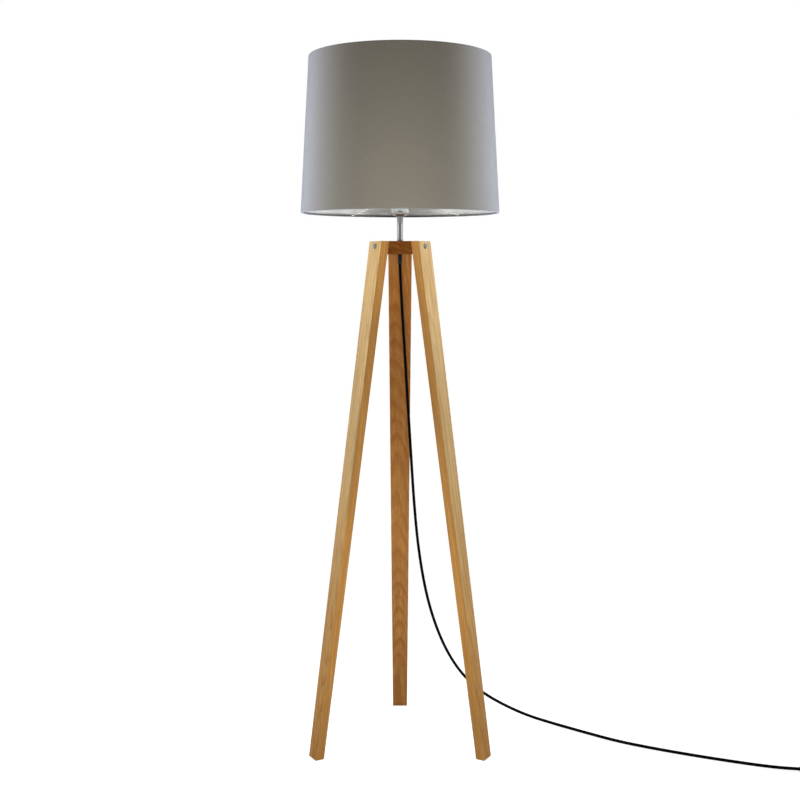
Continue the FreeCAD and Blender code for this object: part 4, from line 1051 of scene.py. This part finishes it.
@dataclass
class Lampholder:
    """The bright cup with the screw lampholder in it."""

    wall: float = 0.001
    round_outside: float = 0.009
    bore: float = 0.00525
    lip: float = 0.0004

    def build(self) -> None:
        """Turn the cup and dress what stands in it."""
        low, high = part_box("holder_cup")
        outer, inner = high.x, high.x - self.wall
        cup = turned("cup", [
            (self.bore, low.z), (outer, low.z, self.round_outside), (outer, high.z, self.lip),
            (inner, high.z, self.lip), (inner, low.z + self.wall, self.round_outside - self.wall),
            (self.bore, low.z + self.wall),
        ], steps=128, segments=12)
        # The cup takes the paler copy of the bright steel, as painted highlight.
        keep(cup, BRIGHT_STEEL, "bright_steel", "holder_cup")
        dress(CERAMIC, "holder_base")
        dress(BRASS, "holder_terminals", "holder_contact", "holder_shell")
        dress(WHITE_PLASTIC, "holder_skirt", "shade_seat_ring", "shade_lock_ring")


# ---------------------------------------------------------------- shade


@dataclass
class Shade:
    """The tapered drum: cloth on a stiff lining, with two wires and a spider of five arms."""

    sides: int = 240
    rows: int = 29
    top_radius: float = 0.2073
    cloth_thickness: float = 0.0006
    lining_thickness: float = 0.0008
    hem_width: float = 0.0056
    hem_depth: float = 0.0045
    fold_ease: float = 0.0016
    seam_half_angle: float = math.radians(1.6)

    def build(self) -> None:
        """Make the cloth and its seam, and dress the lining and the wirework."""
        self.cloth = self.make_cloth()
        self.seam = self.make_seam()
        self.make_lining()
        dress(WHITE_ENAMEL, "shade_bottom_wire", "shade_top_wire", "spider_ring", "spider_arms")
        self.declare()

    def make_cone(self, name: str, proud: float = 0.0) -> bpy.types.Object:
        """Start a piece as the drum's open cone, cut into rows, and leave it in edit mode.

        Args:
            name: The piece's name.
            proud: How far it stands outside the drum.

        Returns:
            The object, in edit mode.
        """
        low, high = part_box("shade_fabric")
        bpy.ops.object.select_all(action="DESELECT")
        bpy.ops.mesh.primitive_cone_add(
            vertices=self.sides, radius1=high.x + proud, radius2=self.top_radius + proud,
            depth=high.z - low.z, end_fill_type="NOTHING", location=(0.0, 0.0, (low.z + high.z) / 2))
        piece = bpy.context.active_object
        piece.name = name
        bpy.ops.object.transform_apply(location=True, rotation=True, scale=True)
        bpy.ops.object.mode_set(mode="EDIT")
        pick(piece, Part.EDGES, lambda place: low.z + MM < place.z < high.z - MM)
        bpy.ops.mesh.subdivide(number_cuts=self.rows)
        return piece

    def make_cloth(self) -> bpy.types.Object:
        """Make the cloth with both edges folded round the wires and turned in."""
        low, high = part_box("shade_fabric")
        piece = self.make_cone("shade_cloth")
        for level, radius, inwards in ((low.z, high.x, 1), (high.z, self.top_radius, -1)):
            pick(piece, Part.EDGES, lambda place: abs(place.z - level) < MM / 100)
            bpy.ops.mesh.extrude_region_move()
            share = (radius - self.hem_width) / radius
            bpy.ops.transform.resize(value=(share, share, 1.0), center_override=(0.0, 0.0, level))
            bpy.ops.mesh.extrude_region_move(
                TRANSFORM_OT_translate={"value": (0.0, 0.0, inwards * self.hem_depth)})
            pick(piece, Part.EDGES, lambda place: abs(place.z - level) < MM / 100
                 and min(abs(place.xy.length - radius), abs(place.xy.length - radius * share)) < MM / 2)
            bpy.ops.mesh.bevel(offset_type="OFFSET", offset=self.fold_ease, segments=4, affect="EDGES")
        closed(piece, 60.0)
        thicken = piece.modifiers.new("cloth", "SOLIDIFY")
        thicken.thickness = self.cloth_thickness
        thicken.offset = -1.0
        thicken.use_even_offset = True
        bpy.ops.object.modifier_apply(modifier="cloth")
        self.unroll(piece)
        return keep(piece, SHADE_CLOTH, "grey_textile", "shade_fabric")

    def make_lining(self) -> bpy.types.Object:
        """Turn the stiff lining that the cloth is laid on."""
        low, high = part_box("shade_lining")
        top = self.top_radius - self.cloth_thickness
        lining = turned("lining", [(high.x, low.z), (top, high.z), (top - self.lining_thickness, high.z),
                                   (high.x - self.lining_thickness, low.z)], steps=self.sides)
        return keep(lining, LINING, "lining", "shade_lining")

    def make_seam(self) -> bpy.types.Object:
        """Make the narrow strip where the cloth's ends overlap, up the rear of the drum."""
        piece = self.make_cone("shade_seam", proud=0.05 * MM)
        pick(piece, Part.FACES, lambda place: abs(math.atan2(place.x, place.y)) > self.seam_half_angle)
        bpy.ops.mesh.delete(type="FACE")
        closed(piece, 60.0)
        thicken = piece.modifiers.new("strip", "SOLIDIFY")
        thicken.thickness = self.cloth_thickness
        thicken.offset = 1.0
        bpy.ops.object.modifier_apply(modifier="strip")
        self.unroll(piece)
        return keep(piece, SHADE_CLOTH, "grey_textile")

    def unroll(self, piece: bpy.types.Object) -> None:
        """Give a piece UVs in metres: the way round the drum, and the height."""
        layer = piece.data.uv_layers.new(name="cloth")
        middle = (self.top_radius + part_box("shade_fabric")[1].x) / 2
        for polygon in piece.data.polygons:
            home = math.atan2(polygon.center.y, polygon.center.x)
            for corner in polygon.loop_indices:
                place = piece.data.vertices[piece.data.loops[corner].vertex_index].co
                angle = math.atan2(place.y, place.x)
                angle = home + (angle - home + math.pi) % FULL_TURN - math.pi
                layer.data[corner].uv = (angle * middle, place.z)

    def declare(self) -> None:
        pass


# ---------------------------------------------------------------- bulb, switch and plug


@dataclass
class Bulb:
    """The lamp's bulb, with its screw cap, housing, board of diodes and opal globe."""

    def build(self) -> None:
        """Dress the bulb's pieces."""
        dress(BRASS, "bulb_contact")
        dress(BLACK_GLASS, "bulb_insulator")
        dress(ZINC_STEEL, "bulb_cap")
        dress(WHITE_PLASTIC, "bulb_housing")
        dress(BOARD_MASK, "bulb_board")
        dress(OPAL, "bulb_globe")


@dataclass
class FootSwitch:
    """The round foot switch on the cord."""

    def build(self) -> None:
        """Dress the switch's pieces."""
        dress(BLACK_PLASTIC, "switch_base", "switch_cover", "switch_button")
        dress(BRASS, "switch_bridge", "switch_contacts")
        dress(ZINC_STEEL, "switch_screws", "switch_spring")


@dataclass
class MainsPlug:
    """The flat two-pin plug."""

    def build(self) -> None:
        """Dress the plug's pieces and the tie of the coil beside it."""
        dress(BLACK_PLASTIC, "plug_body", "coil_tie")
        dress(BRASS, "plug_pins")


def main() -> None:
    """Build the studio and the lamp's sub-assemblies in order."""
    logging.basicConfig(level=logging.INFO, format="%(name)s: %(message)s", stream=sys.stdout)
    Studio().build()
    cord = MainsCord()
    cord.build()
    for assembly in (Tripod(), Stem(), Lampholder(), Shade(), Bulb(), FootSwitch(), MainsPlug()):
        assembly.build()
    cord.declare()
    log.info("the lamp is dressed")


if __name__ == "__main__":
    main()
